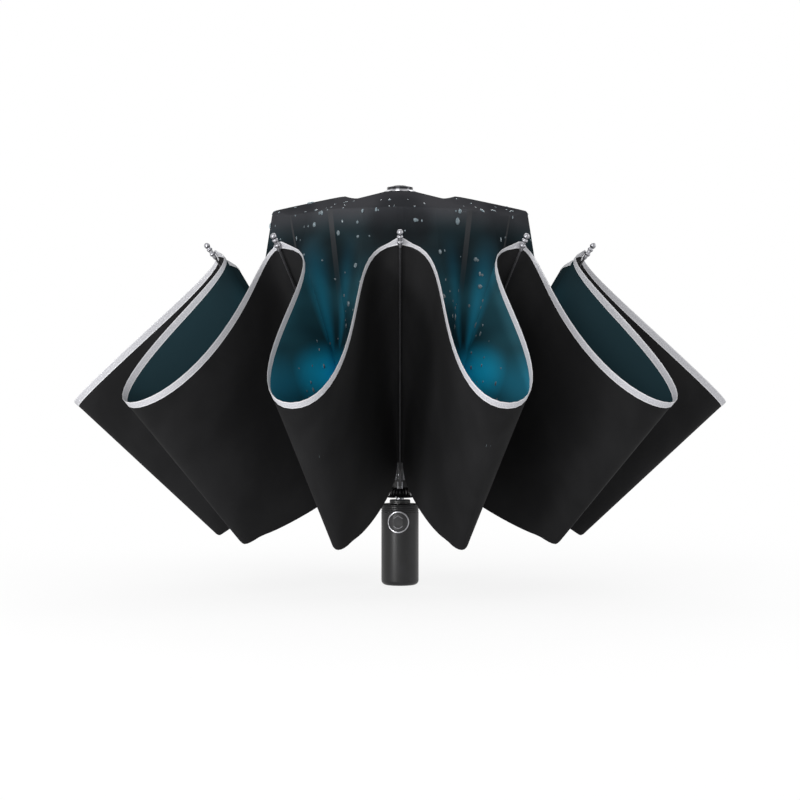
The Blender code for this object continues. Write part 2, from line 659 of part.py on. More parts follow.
def make_crown():
    """Hub on the upper tube with a notch for each top rib, and a dished cap over the cloth."""
    hinge = CROWN_HINGE_HEIGHT
    bore = UPPER_TUBE_RADIUS + FIT
    under_cloth = -CLOTH_THICKNESS / 2 - CLOTH_FIT
    spigot_top = hinge + HUB_SPIGOT_RISE
    fillet = HUB_SPIGOT_FILLET
    flange_foot = hinge - HUB_FLANGE_DEPTH
    sleeve_foot = flange_foot - HUB_SLEEVE_LENGTH
    profile = [(0.0, UPPER_TUBE_TOP + FIT), (bore, UPPER_TUBE_TOP + FIT), (bore, sleeve_foot),
               (HUB_SLEEVE_RADIUS, sleeve_foot), (HUB_SLEEVE_RADIUS, flange_foot),
               (HUB_RADIUS, flange_foot), (HUB_RADIUS, cloth_height(HUB_RADIUS, under_cloth)),
               (HUB_SPIGOT_RADIUS, cloth_height(HUB_SPIGOT_RADIUS, under_cloth))]
    profile += arc((HUB_SPIGOT_RADIUS - fillet, spigot_top - fillet), fillet, 0, pi / 2, EYE_STEPS)
    profile.append((0.0, spigot_top))
    blank = turned_mesh("hub", profile, HUB_SEGMENTS, ring=False)
    mesh = notched("crown_hub", blank, CROWN_HINGE_RADIUS, hinge, HUB_RADIUS,
                   flange_foot - CUT_OVERRUN, hinge + CUT_OVERRUN)
    place("crown_hub", mesh, Matrix(), black_plastic())
    bore = HUB_SPIGOT_RADIUS + FIT
    over_cloth = CLOTH_THICKNESS / 2 + CLOTH_FIT
    low = cloth_height(CAP_FLANGE_RADIUS, over_cloth)
    edge = low + CAP_FLANGE_EDGE
    collar = CAP_COLLAR_RADIUS
    foot = cloth_height(bore, over_cloth)
    top = foot + CAP_COLLAR_HEIGHT
    rim = CAP_COLLAR_RIM
    inside = collar - CAP_COLLAR_WALL
    flare = [(collar + (CAP_FLANGE_RADIUS - collar) * (1 - sin(a)), foot - (foot - edge) * cos(a))
             for a in (pi / 2 * step / EYE_STEPS for step in range(EYE_STEPS + 1))]
    profile = [(bore, foot), (CAP_FLANGE_RADIUS, low)] + flare
    profile += [(collar, top - rim), (collar - rim, top), (inside, top),
                (inside, top - CAP_DISH_DEPTH), (bore, top - CAP_DISH_DEPTH)]
    cap = turned_mesh("crown_cap", profile, SMALL_SEGMENTS)
    place("crown_cap", cap, Matrix(), material("chrome", (0.75, 0.75, 0.77), 0.10, 1.0))


def tube_mesh(name, radius, wall, low, high):
    return turned_mesh(name, [(radius, high), (radius, low), (radius - wall, low),
                              (radius - wall, high)], SMALL_SEGMENTS)


def make_shaft():
    """Three nested tubes. The thinnest is fixed in the handle, the thickest bears the crown."""
    steel = bright_steel()
    low = RUNNER_BASE + FIT
    lower = tube_mesh("lower_tube", LOWER_TUBE_RADIUS, TUBE_WALL,
                      HANDLE_TOP - TUBE_SOCKET_DEPTH + FIT, LOWER_TUBE_TOP)
    middle = tube_mesh("middle_tube", MIDDLE_TUBE_RADIUS, TUBE_WALL, low, MIDDLE_TUBE_TOP)
    upper = tube_mesh("upper_tube", UPPER_TUBE_RADIUS, TUBE_WALL, low, UPPER_TUBE_TOP)
    place("lower_tube", lower, Matrix(), steel)
    place("middle_tube", middle, Matrix(), steel)
    place("upper_tube", upper, Matrix(), steel)


def make_runner():
    """Sleeve on the upper tube with a notch for each stretcher, and a bell skirt below."""
    hinge = RUNNER_HINGE_HEIGHT
    foot = hinge - RUNNER_FLANGE_HALF_HEIGHT
    top = hinge + RUNNER_FLANGE_HALF_HEIGHT
    profile = [(RUNNER_BORE, top), (RUNNER_BORE, RUNNER_BASE), (RUNNER_SLEEVE_RADIUS, RUNNER_BASE),
               (RUNNER_SLEEVE_RADIUS, foot), (RUNNER_RADIUS, foot), (RUNNER_RADIUS, top)]
    blank = turned_mesh("runner", profile, HUB_SEGMENTS)
    mesh = notched("runner", blank, RUNNER_HINGE_RADIUS, hinge, RUNNER_RADIUS,
                   foot - CUT_OVERRUN, top + CUT_OVERRUN)
    place("runner", mesh, Matrix(), black_plastic())
    inside = RUNNER_SLEEVE_RADIUS + FIT
    bell_top = min(RUNNER_BASE + BELL_HEIGHT, foot - FIT)
    brim = RUNNER_BASE + BELL_BRIM_HEIGHT
    rise = bell_top - brim
    crown = inside + BELL_WALL
    dome = [(crown + (BELL_DOME_RADIUS - crown) * cos(a), brim + rise * sin(a))
            for a in (pi / 2 * step / EYE_STEPS for step in range(EYE_STEPS + 1))]
    profile = [(inside, bell_top), (inside, brim), (BELL_RADIUS - BELL_WALL, RUNNER_BASE),
               (BELL_RADIUS, RUNNER_BASE), (BELL_RADIUS, RUNNER_BASE + BELL_WALL)] + dome
    bell = turned_mesh("runner_bell", profile, SMALL_SEGMENTS)
    place("runner_bell", bell, Matrix(), material("gloss_black", (0.010, 0.010, 0.011), 0.25))


def cylinder_tool(azimuth, height, radius, near, far):
    """Closed cylinder that points out of the handle, used as a cutter."""
    shape = bmesh.new()
    middle = facing_frame(azimuth, height) @ Matrix.Translation((0, 0, (near + far) / 2))
    bmesh.ops.create_cone(shape, cap_ends=True, segments=SMALL_SEGMENTS, radius1=radius,
                          radius2=radius, depth=far - near, matrix=middle)
    return finished_mesh("bore", shape)


CAVITY_RADIUS = HANDLE_RADIUS - HANDLE_BASE_FILLET - HANDLE_RIM_WIDTH
SOCKET_FLOOR = HANDLE_TOP - TUBE_SOCKET_DEPTH
BUTTON_HEIGHT = HANDLE_TOP - BUTTON_DROP
POCKET_FLOOR = HANDLE_RADIUS - BUTTON_POCKET_DEPTH
BUTTON_FACE = HANDLE_RADIUS - BUTTON_RECESS
BUTTON_BACK = BUTTON_FACE - BUTTON_THICKNESS
BUTTON_RADIUS = RING_RADIUS - RING_WIDTH - FIT
SPRING_FLOOR = POCKET_FLOOR - SPRING_BORE_DEPTH
SPRING_BORE_RADIUS = SPRING_RADIUS + SPRING_WIRE_RADIUS + FIT


def make_handle():
    """Moulded grip: torch chamber below, tube socket above, button pocket in front."""
    fillet = HANDLE_BASE_FILLET
    chamfer = HANDLE_TOP_CHAMFER
    bore = LOWER_TUBE_RADIUS + FIT
    recess = COLLAR_SPIGOT_RADIUS + FIT
    recess_floor = HANDLE_TOP - COLLAR_SPIGOT_DEPTH - FIT
    chamber_top = SOCKET_FLOOR - BULKHEAD_THICKNESS
    profile = [(0.0, SOCKET_FLOOR), (bore, SOCKET_FLOOR), (bore, recess_floor),
               (recess, recess_floor), (recess, HANDLE_TOP),
               (HANDLE_RADIUS - chamfer, HANDLE_TOP), (HANDLE_RADIUS, HANDLE_TOP - chamfer)]
    for index in range(GROOVE_COUNT):
        top = HANDLE_TOP - GROOVE_TOP_MARGIN - index * GROOVE_PITCH
        profile += [(HANDLE_RADIUS, top), (HANDLE_RADIUS - GROOVE_DEPTH, top - GROOVE_WIDTH / 2),
                    (HANDLE_RADIUS, top - GROOVE_WIDTH)]
    profile += arc((HANDLE_RADIUS - fillet, BASE + fillet), fillet, 0, -pi / 2, EYE_STEPS)
    profile += [(CAVITY_RADIUS, BASE), (CAVITY_RADIUS, chamber_top), (0.0, chamber_top)]
    blank = turned_mesh("handle", profile, HANDLE_SEGMENTS, ring=False)
    beyond = HANDLE_RADIUS + CUT_OVERRUN
    pocket = cylinder_tool(BUTTON_AZIMUTH, BUTTON_HEIGHT, RING_RADIUS + FIT, POCKET_FLOOR, beyond)
    bore = cylinder_tool(BUTTON_AZIMUTH, BUTTON_HEIGHT, SPRING_BORE_RADIUS, SPRING_FLOOR,
                         POCKET_FLOOR + FIT)
    switch = cylinder_tool(SWITCH_AZIMUTH, SWITCH_HEIGHT, SWITCH_STEM_RADIUS + FIT,
                           CAVITY_RADIUS - CUT_OVERRUN, beyond)
    mesh = combined("handle_grip", blank, [("DIFFERENCE", pocket), ("DIFFERENCE", bore),
                                           ("DIFFERENCE", switch)])
    place("handle_grip", mesh, Matrix(), material("matte_handle", (0.045, 0.045, 0.048), 0.42))


def make_collar():
    """Neck ring that closes the top of the handle round the shaft."""
    bore = LOWER_TUBE_RADIUS + FIT
    low = HANDLE_TOP + FIT
    foot = HANDLE_TOP - COLLAR_SPIGOT_DEPTH
    profile = [(bore, COLLAR_TOP), (bore, foot), (COLLAR_SPIGOT_RADIUS, foot),
               (COLLAR_SPIGOT_RADIUS, low), (COLLAR_RADIUS, low),
               (COLLAR_RADIUS, COLLAR_TOP - COLLAR_CHAMFER),
               (COLLAR_RADIUS - COLLAR_CHAMFER, COLLAR_TOP)]
    place("handle_collar", turned_mesh("collar", profile, SMALL_SEGMENTS), Matrix(),
          black_plastic())


def make_button():
    """Opening button in its metal ring, on a coil spring drawn at its pressed length."""
    frame = facing_frame(BUTTON_AZIMUTH, BUTTON_HEIGHT)
    inner = RING_RADIUS - RING_WIDTH
    face = HANDLE_RADIUS + RING_STANDOFF
    low = POCKET_FLOOR + FIT
    ring = turned_mesh("ring", [(inner, face), (inner, low), (RING_RADIUS, low),
                                (RING_RADIUS, face)], SMALL_SEGMENTS)
    place("button_ring", ring, frame, material("satin_ring", (0.55, 0.55, 0.56), 0.30, 0.9))
    stem_end = SPRING_FLOOR + FIT + BUTTON_TRAVEL
    profile = [(0.0, stem_end), (BUTTON_STEM_RADIUS, stem_end), (BUTTON_STEM_RADIUS, BUTTON_BACK),
               (BUTTON_RADIUS, BUTTON_BACK), (BUTTON_RADIUS, BUTTON_FACE - BUTTON_DISH),
               (BUTTON_RADIUS - BUTTON_DISH, BUTTON_FACE), (0.0, BUTTON_FACE - BUTTON_DISH)]
    button = turned_mesh("button", profile, SMALL_SEGMENTS, ring=False)
    place("open_close_button", button, frame, material("button_black", (0.030, 0.030, 0.032), 0.5))
    wire = SPRING_WIRE_RADIUS
    low = SPRING_FLOOR + FIT + wire
    high = BUTTON_BACK - BUTTON_TRAVEL - FIT - wire
    turns = SPRING_TURNS * SPRING_STEPS
    curve = bpy.data.curves.new("spring", "CURVE")
    curve.dimensions = "3D"
    curve.bevel_depth = wire
    curve.bevel_resolution = 1
    curve.use_fill_caps = True
    path = curve.splines.new("POLY")
    path.points.add(turns)
    for step, point in enumerate(path.points):
        angle = tau * step / SPRING_STEPS
        point.co = (SPRING_RADIUS * cos(angle), SPRING_RADIUS * sin(angle),
                    low + (high - low) * step / turns, 1.0)
    spring = bpy.data.objects.new("button_spring", curve)
    bpy.context.scene.collection.objects.link(spring)
    spring.matrix_world = frame
    curve.materials.append(bright_steel())


def make_torch():
    """Lens, reflector, board and cell stack behind a screwed end cap, and a side switch."""
    outer = CAVITY_RADIUS - FIT
    low = BASE + CAP_RECESS
    lens_low = low + CAP_LIP
    lens_top = lens_low + LENS_THICKNESS
    cap_top = low + CAP_HEIGHT
    window = outer - CAP_WALL - LENS_LIP
    inside = outer - CAP_WALL
    profile = [(outer, cap_top), (inside, cap_top), (inside, lens_low), (window, lens_low),
               (window, low), (outer, low)]
    place("led_end_cap", turned_mesh("end_cap", profile, SMALL_SEGMENTS), Matrix(),
          black_plastic())
    lens_radius = inside - FIT
    profile = [(0.0, lens_low + FIT), (lens_radius, lens_low + FIT), (lens_radius, lens_top),
               (0.0, lens_top + BOARD_THICKNESS / 2)]
    lens = turned_mesh("lens", profile, SMALL_SEGMENTS, ring=False)
    place("led_lens", lens, Matrix(), material("clear_lens", (0.80, 0.85, 0.88), 0.05))
    cone_low = lens_top + FIT
    cone_top = cone_low + REFLECTOR_HEIGHT
    wall = REFLECTOR_WALL
    profile = [(lens_radius, cone_low), (LED_RADIUS + FIT + wall, cone_top),
               (LED_RADIUS + FIT, cone_top), (lens_radius - wall, cone_low)]
    place("led_reflector", turned_mesh("reflector", profile, SMALL_SEGMENTS), Matrix(),
          material("mirror_cone", (0.80, 0.80, 0.80), 0.10, 1.0))
    board_low = cone_top + FIT
    board_top = board_low + BOARD_THICKNESS
    profile = [(0.0, board_low - LED_HEIGHT), (LED_RADIUS, board_low - LED_HEIGHT),
               (LED_RADIUS, board_low), (outer, board_low), (outer, board_top), (0.0, board_top)]
    board = turned_mesh("board", profile, SMALL_SEGMENTS, ring=False)
    place("led_board", board, Matrix(), material("board_green", (0.03, 0.18, 0.08), 0.5))
    cell_low = board_top + FIT
    profile = [(0.0, cell_low), (BATTERY_RADIUS, cell_low),
               (BATTERY_RADIUS, cell_low + BATTERY_HEIGHT), (0.0, cell_low + BATTERY_HEIGHT)]
    cells = turned_mesh("cells", profile, SMALL_SEGMENTS, ring=False)
    place("battery", cells, Matrix(), bright_steel())
    seat = sqrt(outer ** 2 - SWITCH_RADIUS ** 2)
    foot = seat - SWITCH_FLANGE_THICKNESS
    profile = [(0.0, foot), (SWITCH_RADIUS, foot), (SWITCH_RADIUS, seat),
               (SWITCH_STEM_RADIUS, seat),
               (SWITCH_STEM_RADIUS, HANDLE_RADIUS + SWITCH_TRAVEL),
               (0.0, HANDLE_RADIUS + SWITCH_TRAVEL + SWITCH_CROWN)]
    switch = turned_mesh("switch", profile, SMALL_SEGMENTS, ring=False)
    place("torch_switch", switch, facing_frame(SWITCH_AZIMUTH, SWITCH_HEIGHT),
          material("soft_rubber", (0.020, 0.020, 0.020), 0.8))


for old in list(bpy.data.objects):
    bpy.data.objects.remove(old)

make_handle()
make_collar()
make_button()
make_torch()
make_shaft()
make_runner()
make_crown()
make_ribs()
make_canopy()
make_binding()
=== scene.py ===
"""Looks of a ten-rib folding umbrella that stands half folded on its torch handle."""

import json
from functools import partial
from math import atan, atan2, cos, hypot, pi, radians, sin, sqrt, tau

import bpy
import numpy as np
from mathutils import Matrix, Vector


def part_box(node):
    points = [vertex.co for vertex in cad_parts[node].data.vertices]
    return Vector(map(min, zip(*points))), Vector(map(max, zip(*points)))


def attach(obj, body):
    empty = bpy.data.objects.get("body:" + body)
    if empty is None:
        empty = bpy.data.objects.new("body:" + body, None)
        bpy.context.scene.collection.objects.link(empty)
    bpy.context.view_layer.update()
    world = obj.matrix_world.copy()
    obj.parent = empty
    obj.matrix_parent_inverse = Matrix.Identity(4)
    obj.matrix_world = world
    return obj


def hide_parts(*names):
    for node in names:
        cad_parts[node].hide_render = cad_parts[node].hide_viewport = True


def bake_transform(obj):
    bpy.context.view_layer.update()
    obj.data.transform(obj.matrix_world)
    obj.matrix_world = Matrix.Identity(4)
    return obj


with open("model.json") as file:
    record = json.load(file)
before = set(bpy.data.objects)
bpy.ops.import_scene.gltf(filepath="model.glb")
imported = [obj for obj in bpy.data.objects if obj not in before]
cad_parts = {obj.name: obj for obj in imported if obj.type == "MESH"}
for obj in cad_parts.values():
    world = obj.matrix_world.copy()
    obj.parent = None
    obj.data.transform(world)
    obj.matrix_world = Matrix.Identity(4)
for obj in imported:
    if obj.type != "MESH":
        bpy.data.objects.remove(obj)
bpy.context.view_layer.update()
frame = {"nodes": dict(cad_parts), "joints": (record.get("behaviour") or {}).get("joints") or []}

bpy.ops.object.select_all(action="DESELECT")

# The view
# A level camera in front of the button, near enough that the lobes at the front look
# a little larger than those at the sides.
VIEW_DISTANCE = 1.70
VIEW_HEIGHT = 0.178
VIEW_HALF_WIDTH = 0.386


def into_scene(name, data):
    """A new object in the scene, with this camera, lamp or mesh in it."""
    thing = bpy.data.objects.new(name, data)
    bpy.context.scene.collection.objects.link(thing)
    return thing


camera = into_scene("camera", bpy.data.cameras.new("camera"))
camera.data.angle = 2 * atan(VIEW_HALF_WIDTH / VIEW_DISTANCE)
camera.location = (0.0, -VIEW_DISTANCE, VIEW_HEIGHT)
camera.rotation_euler = (radians(90), 0.0, 0.0)
bpy.context.scene.camera = camera
bpy.context.scene.view_settings.view_transform = "Standard"

# The floor
# A plain white sheet of matt card. It keeps the soft shadow under the cloth, and further
# off it looks as white as the room, so that no horizon shows.
FLOOR_HALF_WIDTH = 30.0
FLOOR_GAP = 0.0002
FLOOR_COLOUR = "#F2F2F2"
FLOOR_GLOW = 0.84
SHADOW_REACH = 0.35
SHADOW_END = 1.10
EASED = {"interpolation_type": "SMOOTHSTEP"}


def linear(hex_colour):
    """Linear red, green, blue and alpha of an sRGB hex colour."""
    channels = [int(hex_colour[k:k + 2], 16) / 255 for k in (1, 3, 5)]
    return tuple(c / 12.92 if c <= 0.04045 else ((c + 0.055) / 1.055) ** 2.4
        for c in channels) + (1.0,)


def fill(node, sockets):
    """Fill a node's sockets from other nodes' outputs, numbers or hex colours."""
    for socket, source in sockets.items():
        if isinstance(source, bpy.types.NodeSocket):
            node.id_data.links.new(source, node.inputs[socket])
        else:
            colour = isinstance(source, str)
            node.inputs[socket].default_value = linear(source) if colour else source


def add_node(tree, kind, sockets=None, out=0, **settings):
    """Add a node with its settings and links. Gives one of its outputs, or the node itself
    where out is None."""
    node = tree.nodes.new("ShaderNode" + kind)
    for key, value in settings.items():
        setattr(node, key, value)
    fill(node, sockets or {})
    return node if out is None else node.outputs[out]


def new_finish(name):
    """A new material, add_node for its tree, and its shader."""
    finish = bpy.data.materials.new(name)
    finish.use_nodes = True
    tree = finish.node_tree
    return finish, partial(add_node, tree), tree.nodes["Principled BSDF"]


def seen_directly(add):
    """1 for what the camera sees, also in metal and through glass, and 0 for other light."""
    ray = add("LightPath", out=None)
    seen = add("Math", {0: ray.outputs["Is Camera Ray"], 1: ray.outputs["Is Glossy Ray"]},
        operation="MAXIMUM")
    return add("Math", {0: seen, 1: ray.outputs["Is Transmission Ray"]}, operation="MAXIMUM")


floor_card, add, shader = new_finish("matt_white_card")
fill(shader, {"Base Color": FLOOR_COLOUR, "Roughness": 0.9})
place = add("TexCoord", out=3)
from_object = add("VectorMath", {0: place}, out=1, operation="LENGTH")
glow_share = add("MapRange", {"Value": from_object, "From Min": SHADOW_REACH,
    "From Max": SHADOW_END, "To Min": FLOOR_GLOW, "To Max": 1.0}, **EASED)
share = add("Math", {0: seen_directly(add), 1: glow_share}, operation="MULTIPLY")
glow = add("Emission", {"Color": "#FFFFFF", "Strength": 1.0})
mixed = add("MixShader", {0: share, 1: shader.outputs[0], 2: glow})
fill(floor_card.node_tree.nodes["Material Output"], {"Surface": mixed})

bpy.ops.mesh.primitive_plane_add(size=2 * FLOOR_HALF_WIDTH, location=(0.0, 0.0, -FLOOR_GAP))
floor = bpy.context.object
floor.name = "floor"
floor.data.materials.append(floor_card)

# The light
# A pale room, two wide soft lamps in front, one on each side, one behind that draws the
# edges of the black cloth, and a small low one for the line down the grip, which reaches
# it between two lobes. Each has its place, its width and height in metres, and its watts.
ROOM_LIGHT = 0.72
LAMPS = (("key_lamp", (-0.9, -2.2, 1.9), 1.6, 1.6, 14.0),
    ("front_lamp", (-0.7, -2.3, 0.75), 1.2, 1.2, 18.0),
    ("left_lamp", (-2.4, -0.3, 0.9), 1.4, 1.4, 6.0),
    ("right_lamp", (2.4, -0.3, 0.9), 1.4, 1.4, 14.0),
    ("back_lamp", (0.0, 2.2, 1.8), 1.6, 1.6, 18.0),
    ("low_lamp", (-0.88, -1.21, 0.07), 0.30, 0.12, 8.0))
LAMP_AIM = Vector((0.0, 0.0, 0.15))

world = bpy.data.worlds.new("white_room")
bpy.context.scene.world = world
world.use_nodes = True
world.node_tree.nodes.clear()
add = partial(add_node, world.node_tree)
dim = add("Background", {"Color": "#FFFFFF", "Strength": ROOM_LIGHT})
bright = add("Background", {"Color": "#FFFFFF", "Strength": 1.0})
mixed = add("MixShader", {0: seen_directly(add), 1: dim, 2: bright})
add("OutputWorld", {"Surface": mixed}, out=None)

for name, place, width, height, power in LAMPS:
    lamp = into_scene(name, bpy.data.lights.new(name, "AREA"))
    lamp.data.shape = "ELLIPSE"
    lamp.data.size, lamp.data.size_y = width, height
    lamp.data.energy = power
    lamp.location = place
    lamp.rotation_euler = (LAMP_AIM - Vector(place)).to_track_quat("-Z", "Y").to_euler()

# The grip
# A moulded ABS shell with a satin soft-touch coat, fine ring grooves below its shoulder
# and a rounded foot. The shaft is glued into its upper half, the torch fills its lower.
GRIP_RADIUS = 0.0180
GRIP_TOP = 0.0780
GRIP_SHOULDER_ROUND = 0.0009
GRIP_FOOT_ROUND = 0.0045
GRIP_SOCKET = (0.0040, 0.0400)
GRIP_NECK_SEAT = (0.0075, 0.0757)
TORCH_ROOM = (0.0120, 0.0350)
GROOVE_TOP = 0.0768
GROOVE_COUNT = 4
GROOVE_PITCH = 0.0019
GROOVE_WIDTH = 0.0009
GROOVE_DEPTH = 0.0004
GRIP_SIDES = 96
ROUND_STEPS = 6
BUTTON_AZIMUTH = radians(-96)
BUTTON_HEIGHT = 0.0612
BUTTON_POCKET = (0.0106, 0.0132)
SPRING_POCKET = (0.0026, 0.0086)
SWITCH_AZIMUTH = radians(90)
SWITCH_HEIGHT = 0.0180
SWITCH_HOLE = (0.0033, 0.0080)
HOLE_OVERRUN = 0.0240
PEG_SIDES = 48
SMOOTH_ANGLE = radians(35)
GRIP_BLACK = "#111112"
GRIP_WORN = "#17171A"
GRIP_GRAIN = 0.0004
PATCHES_PER_METRE = 90.0
WORN_DULLER = 0.08
COLOURED = {"out": 2, "data_type": "RGBA"}


def quarter(radius, height, turn_out, turn_up):
    """Points of a rounded corner, as (radius, height), from one side to the other."""
    angles = [pi / 2 * step / ROUND_STEPS for step in range(ROUND_STEPS + 1)]
    return [(radius + turn_out * sin(a), height + turn_up * cos(a)) for a in angles]


def ring_by_ring(name, rings, sides):
    """A round piece: a circle, from which each next ring is extruded, moved, turned and resized.
    A ring is its middle's x and height, its lean and its radius."""
    x, height, lean, radius = rings[0]
    bpy.ops.object.select_all(action="DESELECT")
    bpy.ops.mesh.primitive_circle_add(vertices=sides, radius=radius, location=(x, 0.0, height),
        rotation=(0.0, lean, 0.0))
    piece = bpy.context.object
    piece.name = piece.data.name = name
    bpy.ops.object.transform_apply()
    bpy.ops.object.mode_set(mode="EDIT")
    bpy.ops.mesh.select_all(action="SELECT")
    for new_x, new_height, new_lean, new_radius in rings[1:]:
        bpy.ops.mesh.extrude_edges_move(
            TRANSFORM_OT_translate={"value": (new_x - x, 0.0, new_height - height)})
        middle = (new_x, 0.0, new_height)
        if new_lean != lean:
            bpy.ops.transform.rotate(value=lean - new_lean, orient_axis="Y", orient_type="GLOBAL",
                center_override=middle)
        if new_radius != radius:
            bpy.ops.transform.resize(value=(new_radius / radius,) * 3, center_override=middle)
        x, height, lean, radius = new_x, new_height, new_lean, new_radius
    bpy.ops.mesh.select_all(action="SELECT")
    bpy.ops.mesh.remove_doubles(threshold=0.000005)
    bpy.ops.mesh.fill_holes(sides=0)
    bpy.ops.mesh.normals_make_consistent(inside=False)
    bpy.ops.object.mode_set(mode="OBJECT")
    return piece


def turned(name, profile, sides):
    """A round piece on the shaft's line, from a profile of (radius, height)."""
    return ring_by_ring(name, [(0.0, height, 0.0, radius) for radius, height in profile], sides)


def join_shape(piece, tool, operation):
    """Cut, keep or add the tool's shape, and remove the tool."""
    bpy.context.view_layer.objects.active = piece
    cut = piece.modifiers.new(operation.lower(), "BOOLEAN")
    cut.operation = operation
    cut.object = tool
    cut.solver = "EXACT"
    bpy.ops.object.modifier_apply(modifier=cut.name)
    bpy.data.objects.remove(tool)


def pick(piece):
    """Select one piece alone."""
    bpy.ops.object.select_all(action="DESELECT")
    piece.select_set(True)
    bpy.context.view_layer.objects.active = piece


def cylinder(sides, radius, length, height=0.0, lean=0.0):
    """A closed cylinder on the shaft's line, or one that leans to the back."""
    bpy.ops.object.select_all(action="DESELECT")
    bpy.ops.mesh.primitive_cylinder_add(vertices=sides, radius=radius, depth=length,
        location=(0.0, 0.0, height), rotation=(lean, 0.0, 0.0))
    bpy.ops.object.transform_apply()
    return bpy.context.object


def face_out(piece, azimuth, height):
    """Turn a piece from pointing up to pointing out of the grip, and leave it at the origin."""
    pick(piece)
    piece.rotation_euler = (pi / 2, 0.0, azimuth + pi / 2)
    piece.location = (0.0, 0.0, height)
    bpy.ops.object.transform_apply()
    return piece


def peg(radius, near, far, azimuth, height):
    """A closed cylinder that points out of the grip, to cut with."""
    return face_out(cylinder(PEG_SIDES, radius, far - near, (near + far) / 2), azimuth, height)


def soften(piece, width=0.0):
    """Break the piece's sharp edges and shade its round sides smooth."""
    pick(piece)
    if width:
        edge = piece.modifiers.new("edge", "BEVEL")
        edge.width = width
        edge.segments = 2
        edge.limit_method = "ANGLE"
        edge.angle_limit = SMOOTH_ANGLE
        bpy.ops.object.modifier_apply(modifier=edge.name)
    bpy.ops.object.shade_smooth_by_angle(angle=SMOOTH_ANGLE)


def moulded(name, dark, worn, roughness, grain, shine=0.5):
    """Moulded plastic or rubber: a fine grain, and cloudy patches that are paler and duller."""
    finish, add, shader = new_finish(name)
    place = add("TexCoord", out=3)
    cloud = add("TexNoise", {"Vector": place, "Scale": PATCHES_PER_METRE, "Detail": 4.0,
        "Roughness": 0.6})
    wear = add("MapRange", {"Value": cloud, "From Min": 0.40, "From Max": 0.75}, **EASED)
    base = add("Mix", {0: wear, 6: dark, 7: worn}, **COLOURED)
    duller = add("MapRange", {"Value": wear, "To Min": roughness,
        "To Max": roughness + WORN_DULLER})
    pits = add("TexNoise", {"Vector": place, "Scale": 1 / grain, "Detail": 2.0})
    bump = add("Bump", {"Height": pits, "Strength": 0.25, "Distance": 0.00005})
    fill(shader, {"Base Color": base, "Roughness": duller, "Normal": bump,
        "Specular IOR Level": shine})
    return finish


profile = [GRIP_SOCKET, (GRIP_SOCKET[0], GRIP_NECK_SEAT[1]), GRIP_NECK_SEAT,
    (GRIP_NECK_SEAT[0], GRIP_TOP)]
profile += quarter(GRIP_RADIUS - GRIP_SHOULDER_ROUND, GRIP_TOP - GRIP_SHOULDER_ROUND,
    GRIP_SHOULDER_ROUND, GRIP_SHOULDER_ROUND)
for index in range(GROOVE_COUNT):
    top = GROOVE_TOP - index * GROOVE_PITCH
    for share, depth in ((0.0, 0.0), (0.25, 0.8), (0.5, 1.0), (0.75, 0.8), (1.0, 0.0)):
        profile.append((GRIP_RADIUS - GROOVE_DEPTH * depth, top - GROOVE_WIDTH * share))
profile += quarter(GRIP_RADIUS - GRIP_FOOT_ROUND, GRIP_FOOT_ROUND,
    GRIP_FOOT_ROUND, -GRIP_FOOT_ROUND)[::-1]
profile += [(TORCH_ROOM[0], 0.0), TORCH_ROOM]
grip = turned("grip", profile, GRIP_SIDES)
for azimuth, height, (radius, floor_at) in ((BUTTON_AZIMUTH, BUTTON_HEIGHT, BUTTON_POCKET),
        (BUTTON_AZIMUTH, BUTTON_HEIGHT, SPRING_POCKET),
        (SWITCH_AZIMUTH, SWITCH_HEIGHT, SWITCH_HOLE)):
    join_shape(grip, peg(radius, floor_at, HOLE_OVERRUN, azimuth, height), "DIFFERENCE")
soften(grip)
# Soft-touch coat on ABS: near black, and dull enough that a lamp is a wide soft band. Its
# real grain of 0.05 mm is drawn eight times too coarse, so that it shows.
grip.data.materials.append(moulded("soft_touch_abs", GRIP_BLACK, GRIP_WORN, 0.38, GRIP_GRAIN, 0.36))
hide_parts("handle_grip")
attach(grip, "handle")

# The neck ring
# A small black nylon collar, pressed into the top of the grip, that closes it round the
# shaft. The runner's bell comes down on it.
NYLON_BLACK = "#121213"
NYLON_WORN = "#1D1D1E"
NYLON_GRAIN = 0.0005


def refinish(finish, *names):
    """Give CAD nodes whose shape is right their finish."""
    for name in names:
        for slot in frame["nodes"][name].material_slots:
            slot.material = finish


black_nylon = moulded("moulded_black_nylon", NYLON_BLACK, NYLON_WORN, 0.38, NYLON_GRAIN)
refinish(black_nylon, "handle_collar")

# The opening button
# A dished black cap in a thin ring of satin aluminium, both curved like the grip they
# fill a hole in. A raised chevron and bow, moulded in pale grey, say which way it opens.
RING_RADIUS = 0.0103
RING_WIDTH = 0.0010
RING_FOOT = 0.0135
RING_PROUD = 0.0001
CAP_RADIUS = 0.0090
CAP_BACK = 0.0153
CAP_FACE = 0.0177
CAP_DISH_RADIUS = 0.0042
CAP_DISH_DEPTH = 0.00025
STEM_RADIUS = 0.0012
STEM_FOOT = 0.0099
MARK_RADIUS = 0.00042
MARK_SIDES = 10
CHEVRON = ((-0.0043, 0.0034), (0.0, 0.0062), (0.0043, 0.0034))
BOW_MIDDLE = -0.0008
BOW_RADIUS = 0.0050
BOW_SPREAD = radians(57)
BOW_STEPS = 14
RING_GREY = "#B9B9BC"
RING_DARK = "#8E8E92"
CAP_BLACK = "#1B1B1D"
CAP_WORN = "#29292B"
MARK_GREY = "#8C8C90"
MARK_WORN = "#747478"
BRUSH_PITCH = 0.0003
BUTTON_SIDES = 64
EDGE_BREAK = 0.00015
LINES_DULLER = 0.06


